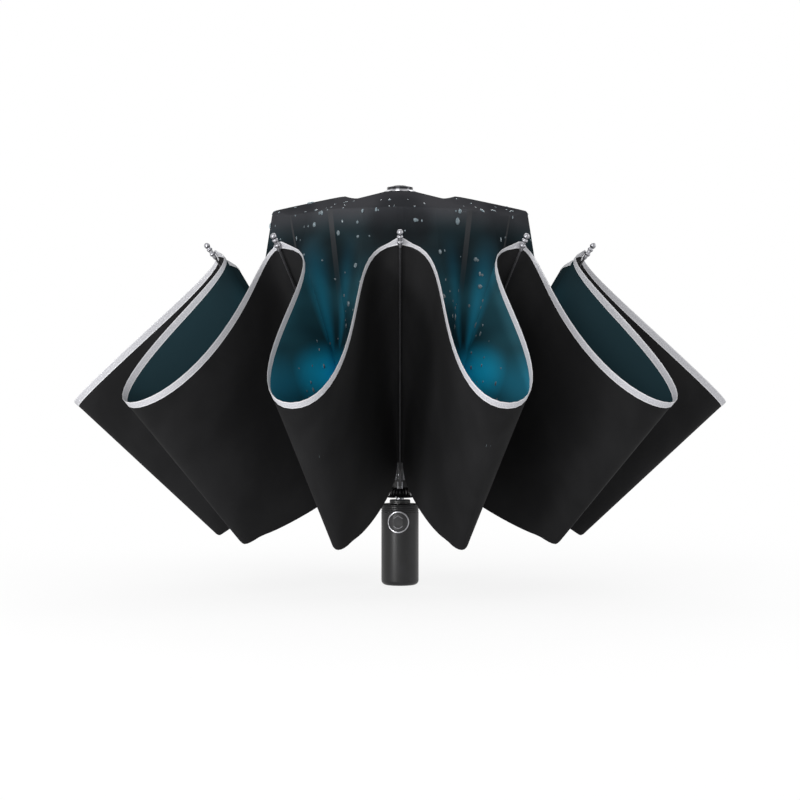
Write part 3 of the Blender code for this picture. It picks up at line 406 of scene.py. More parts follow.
def drawn_metal(name, pale, dark, roughness, pitch, stretch=(1.0, 1.0, 1.0), metallic=1.0):
    """Metal with fine lines left by brushing or drawing. Stretch scales the pattern along X, Y
    and Z, so that the lines run where it is small. Paint over metal is not metallic."""
    finish, add, shader = new_finish(name)
    place = add("TexCoord", out=3)
    lined = add("Mapping", {"Vector": place, "Scale": stretch})
    lines = add("TexNoise", {"Vector": lined, "Scale": 1 / pitch, "Detail": 3.0, "Roughness": 0.6})
    shade = add("MapRange", {"Value": lines, "From Min": 0.35, "From Max": 0.65})
    base = add("Mix", {0: shade, 6: dark, 7: pale}, **COLOURED)
    rough = add("MapRange", {"Value": lines, "To Min": roughness - LINES_DULLER,
        "To Max": roughness + LINES_DULLER})
    bump = add("Bump", {"Height": lines, "Strength": 0.2, "Distance": 0.00003})
    fill(shader, {"Base Color": base, "Roughness": rough, "Normal": bump, "Metallic": metallic})
    return finish


def curved_like_grip(piece, radius, operation="INTERSECT"):
    """Keep only what lies inside, or outside, a cylinder of about the grip's width."""
    join_shape(piece, cylinder(4 * GRIP_SIDES, radius, 2 * GRIP_TOP, BUTTON_HEIGHT), operation)


inside = RING_RADIUS - RING_WIDTH
ring_piece = turned("button_rim", [(inside, RING_FOOT), (RING_RADIUS, RING_FOOT),
    (RING_RADIUS, HOLE_OVERRUN), (inside, HOLE_OVERRUN), (inside, RING_FOOT)], BUTTON_SIDES)
face_out(ring_piece, BUTTON_AZIMUTH, BUTTON_HEIGHT)
curved_like_grip(ring_piece, GRIP_RADIUS + RING_PROUD)
soften(ring_piece, EDGE_BREAK)
# Anodised aluminium, turned on a lathe: pale grey, with faint rings that dull the shine.
ring_piece.data.materials.append(drawn_metal("satin_aluminium", RING_GREY, RING_DARK, 0.34,
    BRUSH_PITCH))
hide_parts("button_ring")
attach(ring_piece, "handle")

button = turned("button", [(STEM_RADIUS, STEM_FOOT), (STEM_RADIUS, CAP_BACK),
    (CAP_RADIUS, CAP_BACK), (CAP_RADIUS, HOLE_OVERRUN)], BUTTON_SIDES)
face_out(button, BUTTON_AZIMUTH, BUTTON_HEIGHT)
curved_like_grip(button, CAP_FACE)
dish = peg(CAP_DISH_RADIUS, CAP_BACK, HOLE_OVERRUN, BUTTON_AZIMUTH, BUTTON_HEIGHT)
curved_like_grip(dish, CAP_FACE - CAP_DISH_DEPTH, "DIFFERENCE")
join_shape(button, dish, "DIFFERENCE")
soften(button, EDGE_BREAK)
button.data.materials.append(moulded("satin_button_abs", CAP_BLACK, CAP_WORN, 0.40, NYLON_GRAIN))
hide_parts("open_close_button")
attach(button, "opening_button")

bow_angles = [BOW_SPREAD * (2 * step / BOW_STEPS - 1) for step in range(BOW_STEPS + 1)]
bow = [(BOW_RADIUS * sin(a), BOW_MIDDLE - BOW_RADIUS * cos(a), pi / 2 - a) for a in bow_angles]
slope = atan2(CHEVRON[1][0] - CHEVRON[0][0], CHEVRON[1][1] - CHEVRON[0][1])
chevron = [(*CHEVRON[0], slope), (*CHEVRON[1], pi / 2), (*CHEVRON[2], pi - slope)]
mark_grey = moulded("pale_grey_abs", MARK_GREY, MARK_WORN, 0.45, NYLON_GRAIN)
for name, path in (("button_chevron", chevron), ("button_bow", bow)):
    mark = ring_by_ring(name, [(x, height, lean, MARK_RADIUS) for x, height, lean in path],
        MARK_SIDES)
    for vertex in mark.data.vertices:
        vertex.co.y -= sqrt(CAP_FACE ** 2 - vertex.co.x ** 2)
    pick(mark)
    mark.rotation_euler.z = BUTTON_AZIMUTH + pi / 2
    mark.location.z = BUTTON_HEIGHT
    bpy.ops.object.transform_apply()
    soften(mark)
    mark.data.materials.append(mark_grey)
    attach(mark, "opening_button")

# Bright spring wire behind the button: drawn, so its lines run along it.
spring_wire = drawn_metal("drawn_spring_wire", "#B4B4B8", "#7E7E84", 0.30, BRUSH_PITCH)
refinish(spring_wire, "button_spring")

# The torch
# A screwed cap in the foot of the grip holds a clear lens and a mirror cone over one LED
# on a green board. The cells stand above it, and a rubber switch shows at the back.
BOARD_GREEN = "#1F6B3A"
BOARD_TRACK = "#2C8A4C"
TRACK_PITCH = 0.0012
LENS_RING_PITCH = 0.0009
WRAP_SILVER = "#B9BBC0"
WRAP_DARK = "#8F9197"
RUBBER_BLACK = "#141414"
RUBBER_WORN = "#222222"
RUBBER_GRAIN = 0.0006
MOULD_RIPPLE = 0.0020

refinish(black_nylon, "led_end_cap")
refinish(moulded("moulded_rubber", RUBBER_BLACK, RUBBER_WORN, 0.70, RUBBER_GRAIN, 0.30),
    "torch_switch")
# Vacuum-metallised ABS: a mirror with a slight ripple left by the mould.
refinish(drawn_metal("metallised_abs", "#DADADC", "#CFCFD2", 0.10, MOULD_RIPPLE), "led_reflector")
# Shrink-wrapped cells: a satin silver sleeve with faint lines round it.
refinish(drawn_metal("shrink_wrapped_cell", WRAP_SILVER, WRAP_DARK, 0.36, BRUSH_PITCH,
    (0.1, 0.1, 1.0)), "battery")

# Polycarbonate lens: clear, with faint moulded rings that spread the light.
lens_finish, add, shader = new_finish("clear_polycarbonate")
place = add("TexCoord", out=3)
rings = add("TexWave", {"Vector": place, "Scale": tau / 20 / LENS_RING_PITCH}, wave_type="RINGS",
    rings_direction="Z")
bump = add("Bump", {"Height": rings, "Strength": 0.3, "Distance": 0.0001})
haze = add("TexNoise", {"Vector": place, "Scale": 300.0})
rough = add("MapRange", {"Value": haze, "To Min": 0.02, "To Max": 0.10})
fill(shader, {"Base Color": "#EEF3F5", "Roughness": rough, "Normal": bump, "IOR": 1.585,
    "Transmission Weight": 1.0})
refinish(lens_finish, "led_lens")

# Fibreglass board: green lacquer over copper tracks that show a little paler.
board_finish, add, shader = new_finish("fibreglass_board")
place = add("TexCoord", out=3)
tracks = add("TexBrick", {"Vector": place, "Scale": 1.0, "Brick Width": 4 * TRACK_PITCH,
    "Row Height": TRACK_PITCH, "Mortar Size": TRACK_PITCH / 8, "Color1": BOARD_GREEN,
    "Color2": BOARD_GREEN, "Mortar": BOARD_TRACK})
fill(shader, {"Base Color": tracks, "Roughness": 0.35})
refinish(board_finish, "led_board")

# The shaft
# Three steel tubes that slide in one another. The thinnest is fixed in the grip and the
# thickest bears the crown. Their seams and drawing lines run along them.
STEEL_PALE = "#A9AAAE"
STEEL_DARK = "#7F8085"

drawn_steel = drawn_metal("drawn_steel_tube", STEEL_PALE, STEEL_DARK, 0.28, BRUSH_PITCH,
    (1.0, 1.0, 0.03))
refinish(drawn_steel, "lower_tube", "middle_tube", "upper_tube")

# The runner
# A black nylon sleeve that slides on the shaft and bears the stretchers in ten notches.
# The glossy bell below it is pressed on and flares out over the neck ring.
BELL_OUTLINE = ((0.0083, 0.0940), (0.0083, 0.0862), (0.0114, 0.0840), (0.0121, 0.0840),
    (0.0124, 0.0843), (0.0124, 0.0848), (0.0114, 0.0854), (0.0106, 0.0863), (0.0101, 0.0875),
    (0.0099, 0.0889), (0.0097, 0.0903), (0.0094, 0.0916), (0.0090, 0.0927), (0.0086, 0.0935),
    (0.0083, 0.0940))
BELL_BLACK = "#0A0A0B"
BELL_WORN = "#101012"

refinish(black_nylon, "runner")
bell = turned("bell", BELL_OUTLINE, GRIP_SIDES)
soften(bell)
bell.data.materials.append(moulded("gloss_black_abs", BELL_BLACK, BELL_WORN, 0.12, NYLON_GRAIN))
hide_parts("runner_bell")
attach(bell, "runner_assembly")

# The crown hub
# A black nylon hub, pressed on the top of the thickest tube, with a notch and a rivet for
# each top rib. The cloth lies over it and the cap closes it.
refinish(black_nylon, "crown_hub")

# The folded ribs and the stretchers
# Steel channels and bars, pressed from strip, dipped in black paint and riveted in chains
# of three. The fork at each elbow is left bare, as the rods are sprung into it last.
RIB_COUNT = 10
RIB_BLACK = "#1C1C1E"
RIB_WORN = "#2B2B2E"
FORK_PALE = "#9A9B9F"
FORK_DARK = "#7A7B80"
FORK_TOP = 0.1022
PRESS_PITCH = 0.0012
PRESS_STRETCH = (1.0, 1.0, 0.15)
PAINT_END = 0.0006
ZINC_METALLIC = 0.8


def coloured_so_far(finish):
    """For a finish: add_node for its tree, its shader, and the colour that it has so far."""
    shader = finish.node_tree.nodes["Principled BSDF"]
    colour = shader.inputs["Base Color"].links[0].from_socket
    return partial(add_node, finish.node_tree), shader, colour


black_paint = drawn_metal("black_painted_steel", RIB_WORN, RIB_BLACK, 0.42, PRESS_PITCH,
    PRESS_STRETCH, 0.0)
refinish(black_paint, *(f"{bar}_{index}" for bar in ("top_rib", "stretcher")
    for index in range(RIB_COUNT)))
# The same paint, which ends just above the elbow in bare zinc-plated steel.
dipped = drawn_metal("dipped_zinc_steel", RIB_WORN, RIB_BLACK, 0.42, PRESS_PITCH, PRESS_STRETCH,
    0.0)
add, shader, paint = coloured_so_far(dipped)
place = add("TexCoord", out=3)
height = add("SeparateXYZ", {0: place}, out=2)
spangle = add("TexVoronoi", {"Vector": place, "Scale": 1 / PRESS_PITCH}, out=1)
zinc = add("Mix", {0: spangle, 6: FORK_DARK, 7: FORK_PALE}, **COLOURED)
bare = add("MapRange", {"Value": height, "From Min": FORK_TOP, "From Max": FORK_TOP - PAINT_END})
fill(shader, {"Base Color": add("Mix", {0: bare, 6: paint, 7: zinc}, **COLOURED),
    "Metallic": add("Math", {0: bare, 1: ZINC_METALLIC}, operation="MULTIPLY")})
refinish(dipped, *(f"middle_rib_{index}" for index in range(RIB_COUNT)))

# The outer ribs
# Sprung steel rods, painted black, with a flat eye at the elbow. A nickel-plated tip of
# two beads and a ball is crimped on each, and the cloth's corner is sewn behind it.
ROD_RADIUS = 0.0010
ROD_BOW = 0.0057
ROD_STEPS = 24
ROD_SIDES = 12
EYE_RADIUS = 0.0016
EYE_HALF_WIDTH = 0.0012
EYE_SIDES = 24
EYE_HOLE_RADIUS = 0.0009
EYE_HOLE_SIDES = 16
TIP_PLATED_FROM = 0.0040
UP = Vector((0.0, 0.0, 1.0))
TIP_BASE_RADIUS = 0.183
TIP_BASE_RISE = 0.216
TIP_OUTLINE = ((-0.0042, 0.0010), (-0.0038, 0.0016), (-0.0032, 0.0018), (-0.0002, 0.0019),
    (0.0002, 0.0025), (0.0008, 0.0028), (0.0019, 0.0028), (0.0025, 0.0025), (0.0029, 0.0020),
    (0.0050, 0.0020), (0.0054, 0.0024), (0.0059, 0.0027), (0.0069, 0.0027), (0.0074, 0.0024),
    (0.0078, 0.0020), (0.0082, 0.0019), (0.0086, 0.0021), (0.0092, 0.0025), (0.0099, 0.0028),
    (0.0108, 0.0028), (0.0117, 0.0026), (0.0125, 0.0021), (0.0131, 0.0014), (0.0134, 0.0007))
NICKEL_PALE = "#ACACB0"
NICKEL_DARK = "#77777C"

hinge_points = {joint["name"]: joint["pos_m"] for joint in frame["joints"] if "pos_m" in joint}


def in_rib_plane(hinge):
    """Radius from the shaft and height of a hinge on the front rib."""
    x, y, z = hinge_points[hinge + "_swing_0"]
    return Vector((hypot(x, y), z))


def rib_azimuth(index):
    """The way in which a rib points, 0 being the front one."""
    return index * tau / RIB_COUNT - pi / 2


elbow = in_rib_plane("outer_rib")


def elbow_of(index):
    """A rib's direction out from the shaft, and the place of its elbow."""
    outward = Vector((cos(rib_azimuth(index)), sin(rib_azimuth(index)), 0.0))
    return outward, outward * elbow.x + UP * elbow.y


tip_base = Vector((TIP_BASE_RADIUS, elbow.y + TIP_BASE_RISE))
outer_along = (tip_base - elbow).normalized()
outer_length = (tip_base - elbow).length
end_lean = pi / 2 + atan(4 * ROD_BOW / outer_length)
rings = []
for step in range(1, ROD_STEPS):
    share = step / ROD_STEPS
    lean = pi / 2 - atan(4 * ROD_BOW * (1 - 2 * share) / outer_length)
    rings.append((outer_length * share, 4 * ROD_BOW * share * (1 - share), lean, ROD_RADIUS))
rings.insert(0, (EYE_RADIUS / 2, 0.0, rings[0][2], ROD_RADIUS))
for beyond, radius in TIP_OUTLINE:
    rings.append((outer_length + beyond * sin(end_lean), beyond * cos(end_lean), end_lean, radius))
rod = ring_by_ring("outer_rod_0", rings, ROD_SIDES)
eye = cylinder(EYE_SIDES, EYE_RADIUS, 2 * EYE_HALF_WIDTH, lean=pi / 2)
join_shape(rod, eye, "UNION")
eye_hole = cylinder(EYE_HOLE_SIDES, EYE_HOLE_RADIUS, 4 * EYE_HALF_WIDTH, lean=pi / 2)
join_shape(rod, eye_hole, "DIFFERENCE")
soften(rod)
# Black paint on the rod and bright nickel on the tip, where the paint stops.
rod_finish = drawn_metal("painted_rod_nickel_tip", RIB_WORN, RIB_BLACK, 0.34, PRESS_PITCH,
    PRESS_STRETCH)
add, shader, paint = coloured_so_far(rod_finish)
lines = shader.inputs["Roughness"].links[0].from_node.inputs["Value"].links[0].from_socket
coat = add("Attribute", attribute_name="tip", out=2)
nickel = add("Mix", {0: lines, 6: NICKEL_DARK, 7: NICKEL_PALE}, **COLOURED)
fill(shader, {"Base Color": add("Mix", {0: coat, 6: paint, 7: nickel}, **COLOURED),
    "Metallic": coat})
rod.data.materials.append(rod_finish)
tip_share = rod.data.attributes.new("tip", "FLOAT", "POINT")
tip_share.data.foreach_set("value", [float(vertex.co.x > outer_length - TIP_PLATED_FROM)
    for vertex in rod.data.vertices])
rods = [rod]
for index in range(1, RIB_COUNT):
    pick(rod)
    bpy.ops.object.duplicate()
    rods.append(bpy.context.selected_objects[0])
for index, rod in enumerate(rods):
    outward, elbow_at = elbow_of(index)
    along = outward * outer_along.x + UP * outer_along.y
    sideways = Vector((-outward.y, outward.x, 0.0))
    turn = Matrix((along, sideways, along.cross(sideways))).transposed().to_4x4()
    pick(rod)
    rod.name = rod.data.name = f"outer_rod_{index}"
    rod.matrix_world = Matrix.Translation(elbow_at) @ turn
    bpy.ops.object.transform_apply()
    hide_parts(f"outer_rib_{index}")
    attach(rod, f"outer_rib_body_{index}")

# The cloth
# One canopy of tight black pongee whose upper face is coated dark teal to shed water.
# Ten gores are sewn together along the ribs and hang between them in deep lobes. Each
# rib's width of cloth is in two pieces.
GORE_HALF_ANGLE = pi / RIB_COUNT
HALF_COLUMNS = 22
CLOTH_HALF_THICKNESS = 0.0002
RIB_SEAT = 0.0028
BAR_TO_CLOTH = 0.0025
CORNER_TO_CLOTH = 0.0036
ROD_TO_CLOTH = 0.0035
CROWN_HOLE_RADIUS = 0.0083
SHOULDER_ROUND = 0.0022
CROWN_SAG = 0.0012
SLACK_OUT = 0.0180
SLACK_UP = 0.0075
SLACK_PLEAT = ((0.0, 0.0), (0.06, -0.0025), (0.12, -0.0056), (0.21, -0.0068), (0.28, -0.0058),
    (0.33, -0.0015), (0.37, 0.0015), (0.41, 0.0023), (0.55, 0.0020), (0.80, 0.0010), (1.0, 0.0))
FOLD_STANDOFF = 0.024
FOLD_RADIUS = 0.172
FOLD_DROP = 0.054
FOLD_ROUND = 0.010
FOLD_RIB_HANDLE = 0.0035
FOLD_CENTRE_HANDLE = 0.020
FOLD_PULL = 0.68
FOLD_DROOP = 0.016
DROOP_REACH = 0.8
DROOP_SHARE = 0.25
DROOP_SKEW = 0.6
HEM_RADIUS = 0.2935
HEM_RISE = 0.0788
HEM_RIB_HANDLE = 0.0570
HEM_CENTRE_HANDLE = 0.0606
HEM_BELLY = (-0.0017, -0.0077, 0.0)
HEM_GATHER = (-0.0096, 0.0025, -0.0020)
BELLY_PEAK = 16
GATHER_PEAK = 9.48
LOBE_BELLIES = {2: (0.0, -0.0110, -0.0070), 3: (0.0, 0.0, 0.0020)}
SIDE_LOBE_REACH = 0.0117
CORNER_LOBE_REACH = 0.0088
TAPE_WIDTH = 0.0062
TAPE_TIP_WIDTH = 0.0034
TAPE_HALF_THICKNESS = 0.0005
HEM_INSET = 0.0028
LIP_WIDTHS = (0.0004, 0.0025)
LIP_SHARE = 0.5
CROWN_ROWS = 20
SHOULDER_ROWS = 5
INNER_ROWS = 22
FOLD_ROWS = 8
OUTER_ROWS = 24
SHOULDER_BLEND = (0.348, 0.325)
ELBOW_BLEND = (0.018, 0.106)
ELBOW_BLEND_LEAN = (-0.264, 0.965)

across = np.linspace(0.0, 1.0, HALF_COLUMNS + 1)


def ease(share):
    """Smooth step from 0 to 1."""
    share = np.clip(share, 0.0, 1.0)
    return share * share * (3 - 2 * share)


def unit(vectors):
    """Vectors in the same directions, each of length 1."""
    return vectors / np.linalg.norm(vectors, axis=-1, keepdims=True)


def drawn_curve(start, start_pull, end_pull, end, t):
    """A cubic curve between two points, which two others draw towards them."""
    u = 1 - t
    return start * u ** 3 + start_pull * 3 * u * u * t + end_pull * 3 * u * t * t + end * t ** 3


def half_gore(rib_point, rib_handle, centre_point, centre_handle, belly=0.0):
    """Points from beside a rib to the middle of the gore: radial, sideways, height."""
    start = np.array((rib_point.x, RIB_SEAT, rib_point.y))
    end = np.array((centre_point.x * cos(GORE_HALF_ANGLE), centre_point.x * sin(GORE_HALF_ANGLE),
        centre_point.y))
    beside_rib = start + np.array((0.0, rib_handle, 0.0))
    beside_end = end + np.array((sin(GORE_HALF_ANGLE), -cos(GORE_HALF_ANGLE), 0.0)) * centre_handle
    t = across[:, None]
    u = 1 - t
    swell = (np.array(HEM_BELLY) * BELLY_PEAK * (t * u) ** 2
        + np.array(HEM_GATHER) * GATHER_PEAK * t * u ** 3)
    return drawn_curve(start, beside_rib, beside_end, end, t) + belly * swell


crown_hinge, shoulder = in_rib_plane("top_rib"), in_rib_plane("middle_rib")
top_along = (shoulder - crown_hinge).normalized()
middle_along = (elbow - shoulder).normalized()
top_wet, middle_wet, outer_wet = (Vector((-v.y, v.x))
    for v in (top_along, middle_along, outer_along))
corner = shoulder + (top_wet + middle_wet) * (CORNER_TO_CLOTH / (1 + top_wet.dot(middle_wet)))
taut_centre = Vector((corner.x * cos(GORE_HALF_ANGLE) + RIB_SEAT * sin(GORE_HALF_ANGLE), corner.y))
fold_centre = Vector((FOLD_RADIUS, elbow.y - FOLD_DROP))
hem_centre = Vector((HEM_RADIUS, elbow.y + HEM_RISE))
inner_rib = elbow - middle_along * FOLD_STANDOFF + middle_wet * BAR_TO_CLOTH
fold_share = FOLD_STANDOFF / outer_length
droop_shape = np.sin(pi * np.minimum(1.0, across / DROOP_REACH) ** DROOP_SKEW)


def on_outer_rib(share):
    """Place of the cloth at a share of the sprung outer rib."""
    bow = 4 * ROD_BOW * share * (1 - share)
    return elbow + outer_along * (outer_length * share) + outer_wet * (ROD_TO_CLOTH + bow)


def half_gore_rows(slack):
    """Rows of half a gore from crown to hem, taut, or slack so that it stands in a pleat."""
    corner_centre = taut_centre + Vector((SLACK_OUT, SLACK_UP)) * slack
    falling = (fold_centre - corner_centre).normalized()
    rising = (hem_centre - fold_centre).normalized()
    inner_centre = fold_centre - falling * FOLD_ROUND
    outer_centre = fold_centre + rising * FOLD_ROUND
    hole_height = corner.y + (CROWN_HOLE_RADIUS - corner.x) * top_along.y / top_along.x
    hole_edge = Vector((CROWN_HOLE_RADIUS, hole_height))
    hole_row = half_gore(hole_edge, 0.0, hole_edge, 0.0)
    hole_row[:, 1] = CROWN_HOLE_RADIUS * sin(GORE_HALF_ANGLE) * across
    shoulder_row = half_gore(corner, 0.0, corner_centre, 0.0)
    round_share = SHOULDER_ROUND / (shoulder - crown_hinge).length
    rows = []
    for share in np.linspace(0.0, 1.0, CROWN_ROWS + 1)[:-1] * (1 - round_share):
        row = hole_row + (shoulder_row - hole_row) * share
        pleat = float(np.interp(share, *zip(*SLACK_PLEAT))) * slack
        pleat -= CROWN_SAG * sin(pi * share) * (1 - slack)
        row[:, 2] += pleat * np.sin(pi * across / 2) ** 2
        rows.append(row)
    fold_row = half_gore(inner_rib, FOLD_RIB_HANDLE, inner_centre, FOLD_CENTRE_HANDLE)
    before = shoulder_row + (hole_row - shoulder_row) * round_share
    round_share = SHOULDER_ROUND / (inner_rib - corner).length
    after = shoulder_row + (fold_row - shoulder_row) * round_share
    for t in np.linspace(0.0, 1.0, SHOULDER_ROWS):
        rows.append(before * (1 - t) ** 2 + shoulder_row * 2 * t * (1 - t) + after * t * t)
    for share in np.linspace(0.0, 1.0, INNER_ROWS + 1)[1:]:
        centre = corner_centre + (inner_centre - corner_centre) * share
        row = half_gore(corner + (inner_rib - corner) * share,
            FOLD_RIB_HANDLE * min(1.0, 2 * share), centre, FOLD_CENTRE_HANDLE * share)
        row[:, 2] -= FOLD_DROOP * droop_shape * ease(1 - (1 - share) / DROOP_SHARE)
        rows.append(row)
    outer_rows = []
    for share in np.linspace(0.0, 1.0, OUTER_ROWS + 1):
        row = half_gore(on_outer_rib(fold_share + (1 - fold_share) * share),
            FOLD_RIB_HANDLE + (HEM_RIB_HANDLE - FOLD_RIB_HANDLE) * share,
            outer_centre + (hem_centre - outer_centre) * share,
            FOLD_CENTRE_HANDLE + (HEM_CENTRE_HANDLE - FOLD_CENTRE_HANDLE) * share, share)
        row[:, 2] -= FOLD_DROOP * droop_shape * ease(1 - share / DROOP_SHARE)
        outer_rows.append(row)
    first, last = rows[-1], outer_rows[0]
    pull = np.linalg.norm(last - first, axis=1)[:, None] * FOLD_PULL
    down = first + unit(first - rows[-2]) * pull
    up = last - unit(outer_rows[1] - last) * pull
    rows += [drawn_curve(first, down, up, last, t)
        for t in np.linspace(0.0, 1.0, FOLD_ROWS + 1)[1:-1]]
    return np.array(rows + outer_rows)


# The gores round the shaft. Each rib's columns run from the middle of one gore, over the
# rib, to just before the middle of the next. The gores at the sides and back are slack.
taut_rows = half_gore_rows(0.0)
slack_rows = half_gore_rows(1.0)
row_count = len(taut_rows)
fold_at = CROWN_ROWS + SHOULDER_ROWS + INNER_ROWS - 1
outer_at = row_count - OUTER_ROWS - 1
rib_columns = 2 * HALF_COLUMNS + 1
ring = np.zeros((row_count, RIB_COUNT * rib_columns, 3))
lobe = np.zeros(row_count)
lobe[outer_at:] = np.linspace(0.0, 1.0, row_count - outer_at)
for index in range(RIB_COUNT):
    azimuth = rib_azimuth(index)
    outward = np.array((cos(azimuth), sin(azimuth), 0.0))
    sideways = np.array((-sin(azimuth), cos(azimuth), 0.0))
    for side, order in ((-1, range(HALF_COLUMNS, -1, -1)), (1, range(0, HALF_COLUMNS))):
        facing_front = -sin(azimuth + side * GORE_HALF_ANGLE) / sin(2 * GORE_HALF_ANGLE)
        slack = min(1.0, max(0.0, 1 - facing_front))
        half_rows = taut_rows * (1 - slack) + slack_rows * slack
        # The number of this half gore, counted from the front to either side.
        from_front = abs((index * 36 + side * 9 + 180) % 360 - 180) // 18
        belly = np.array(LOBE_BELLIES.get(from_front, (0.0, 0.0, 0.0)))
        for place, column in enumerate(order):
            at = index * rib_columns + place + (0 if side < 0 else HALF_COLUMNS + 1)
            swell = BELLY_PEAK * (across[column] * (1 - across[column])) ** 2
            half = half_rows[:, column] + (lobe * swell)[:, None] * belly
            ring[:, at] = outward * half[:, 0:1] + sideways * side * half[:, 1:2]
            ring[:, at, 2] = half[:, 2]
            bearing = np.arctan2(ring[:, at, 1], ring[:, at, 0])
            push = (SIDE_LOBE_REACH * np.cos(2 * bearing)
                + CORNER_LOBE_REACH * np.cos(4 * bearing)) * lobe * ease(across[column])
            ring[:, at, 0] += np.cos(bearing) * push
            ring[:, at, 1] += np.sin(bearing) * push


def facings(points):
    """Unit vectors square to a closed band of cloth, on its wet side."""
    around = np.roll(points, -1, axis=1) - np.roll(points, 1, axis=1)
    return unit(np.cross(np.gradient(points, axis=0), around))


def take(array, index):
    """The columns of one rib, from the middle of one gore to the middle of the next."""
    chosen = np.arange(index * rib_columns, (index + 1) * rib_columns + 1)
    return array[:, chosen % array.shape[1]]


def lengths_along(points):
    """For each point of a grid, metres along its row from the first column."""
    steps = np.linalg.norm(np.diff(points, axis=1), axis=2)
    return np.concatenate([np.zeros((len(points), 1)), np.cumsum(steps, axis=1)], axis=1)


def with_lip(points, wet, next_points, next_wet):
    """Add a thin lip that runs on inside the next rib's cloth, for when the ribs swing."""
    lengths = lengths_along(next_points)
    for width in LIP_WIDTHS:
        place, facing = (np.array([[np.interp(width, lengths[row], grid[row, :, axis])
            for axis in range(3)] for row in range(len(points))])
            for grid in (next_points, next_wet))
        points = np.concatenate([points, place[:, None]], axis=1)
        wet = np.concatenate([wet, LIP_SHARE * unit(facing)[:, None]], axis=1)
    return points, wet


def sheet_piece(name, points, wet, half_thickness, maps, materials):
    """A sheet with a wet face, a dry face and a rim, from a grid of points and facings."""
    count, wide = points.shape[:2]
    both = np.concatenate([(points + wet * half_thickness).reshape(-1, 3),
        (points - wet * half_thickness).reshape(-1, 3)])
    grid = np.arange(count * wide).reshape(count, wide)
    a, b, c, d = (grid[:-1, :-1].ravel(), grid[:-1, 1:].ravel(), grid[1:, 1:].ravel(),
        grid[1:, :-1].ravel())
    under = count * wide
    faces = list(zip(a, d, c, b)) + list(zip(a + under, b + under, c + under, d + under))
    border = np.concatenate([grid[0, :-1], grid[:-1, -1], grid[-1, :0:-1], grid[:0:-1, 0]])
    following = np.roll(border, -1)
    faces += list(zip(border, following, following + under, border + under))
    mesh = bpy.data.meshes.new(name)
    mesh.from_pydata(both.tolist(), [], [tuple(int(k) for k in face) for face in faces])
    for material in materials:
        mesh.materials.append(material)
    mesh.polygons.foreach_set("material_index", [0] * len(a) + [1] * (len(faces) - len(a)))
    mesh.shade_smooth()
    corner_ids = np.zeros(len(mesh.loops), int)
    mesh.loops.foreach_get("vertex_index", corner_ids)
    for map_name, values in maps.items():
        flat = np.concatenate([values.reshape(-1, 2)] * 2)
        layer = mesh.uv_layers.new(name=map_name)
        layer.data.foreach_set("uv", flat[corner_ids].ravel())
    square = unit(wet).reshape(-1, 3)
    mesh.normals_split_custom_set_from_vertices(np.concatenate([square, -square]).tolist())
    return into_scene(name, mesh)


def cloth_map(index, first_row, last_row):
    """Metres across from the rib and down from the crown, for each point and its lip."""
    from_left = lengths_along(take(ring, index)[first_row:last_row])
    middle = (from_left[:, HALF_COLUMNS] + from_left[:, HALF_COLUMNS + 1]) / 2
    pad = ((0, 0), (0, len(LIP_WIDTHS)))
    down = take(down_length, index)[first_row:last_row]
    return np.stack([np.pad(grid, pad, mode="edge")
        for grid in (from_left - middle[:, None], down)], axis=2)


def elbow_blend(index):
    """The two places between which a rib's cloth turns from its middle to its outer bar."""
    outward, elbow_at = elbow_of(index)
    lean = outward * ELBOW_BLEND_LEAN[0] + UP * ELBOW_BLEND_LEAN[1]
    return elbow_at + lean * ELBOW_BLEND[0], elbow_at + lean * ELBOW_BLEND[1]


def cloth_parts(index):
    """The two pieces of a rib's cloth: their two bars, and where they turn from one to the
    other."""
    shoulder_blend = [UP * height for height in SHOULDER_BLEND]
    return (("upper", "top_rib", "middle_rib", *shoulder_blend),
        ("outer", "middle_rib", "outer_rib", *elbow_blend(index)))


# Coated pongee, wet side: near black above, dark teal lower down, with soft blue fans of
# painted glow in the lobes, which stand in for light. The weave is drawn five times too coarse, so
# that it shows.
SLOPE_DARK = "#2C2D30"
SLOPE_GREY = "#3C3C3F"
COAT_BLACK = "#17191B"
COAT_GREY = "#1D292D"
TEAL_DARK = "#1C353D"
TEAL = "#264D58"
OUTWARD_TEAL = "#1F3137"
PAINTED_GLOW_BLUE = "#22CEFF"
SEAM_SHEEN_GREY = "#3A3B3D"
COAT_CHANGE = (0.262, 0.322)
SLOPE_CHANGE = (0.328, 0.358)
OUTWARD_CHANGE = (0.115, 0.165)
HEART = (0.065, 0.200, 0.034)
FAN = (0.058, 0.206, 0.135)
FAN_STREAKS = ((0.20, 0.16, 0.30), (-0.10, 0.10, 0.16), (1.95, 0.80, 0.18))
SEAM_HALF_WIDTH = 0.0024
SEAM_EDGE = 0.0010
SEAM_END = (0.20, 0.10)
SEAM_START = (0.100, 0.106)
SEAM_ASIDE = (0.030, 0.050)
WEAVE_PITCH = 0.0010


def woven(add, rib_map):
    """The relief of a plain weave, whose threads run along and across the rib."""
    warp, weft = (add("TexWave", {"Vector": rib_map, "Scale": tau / 20 / WEAVE_PITCH},
        bands_direction=way) for way in "XY")
    weave = add("Math", {0: warp, 1: weft}, operation="MULTIPLY")
    return add("Bump", {"Height": weave, "Strength": 0.12, "Distance": 0.0001})


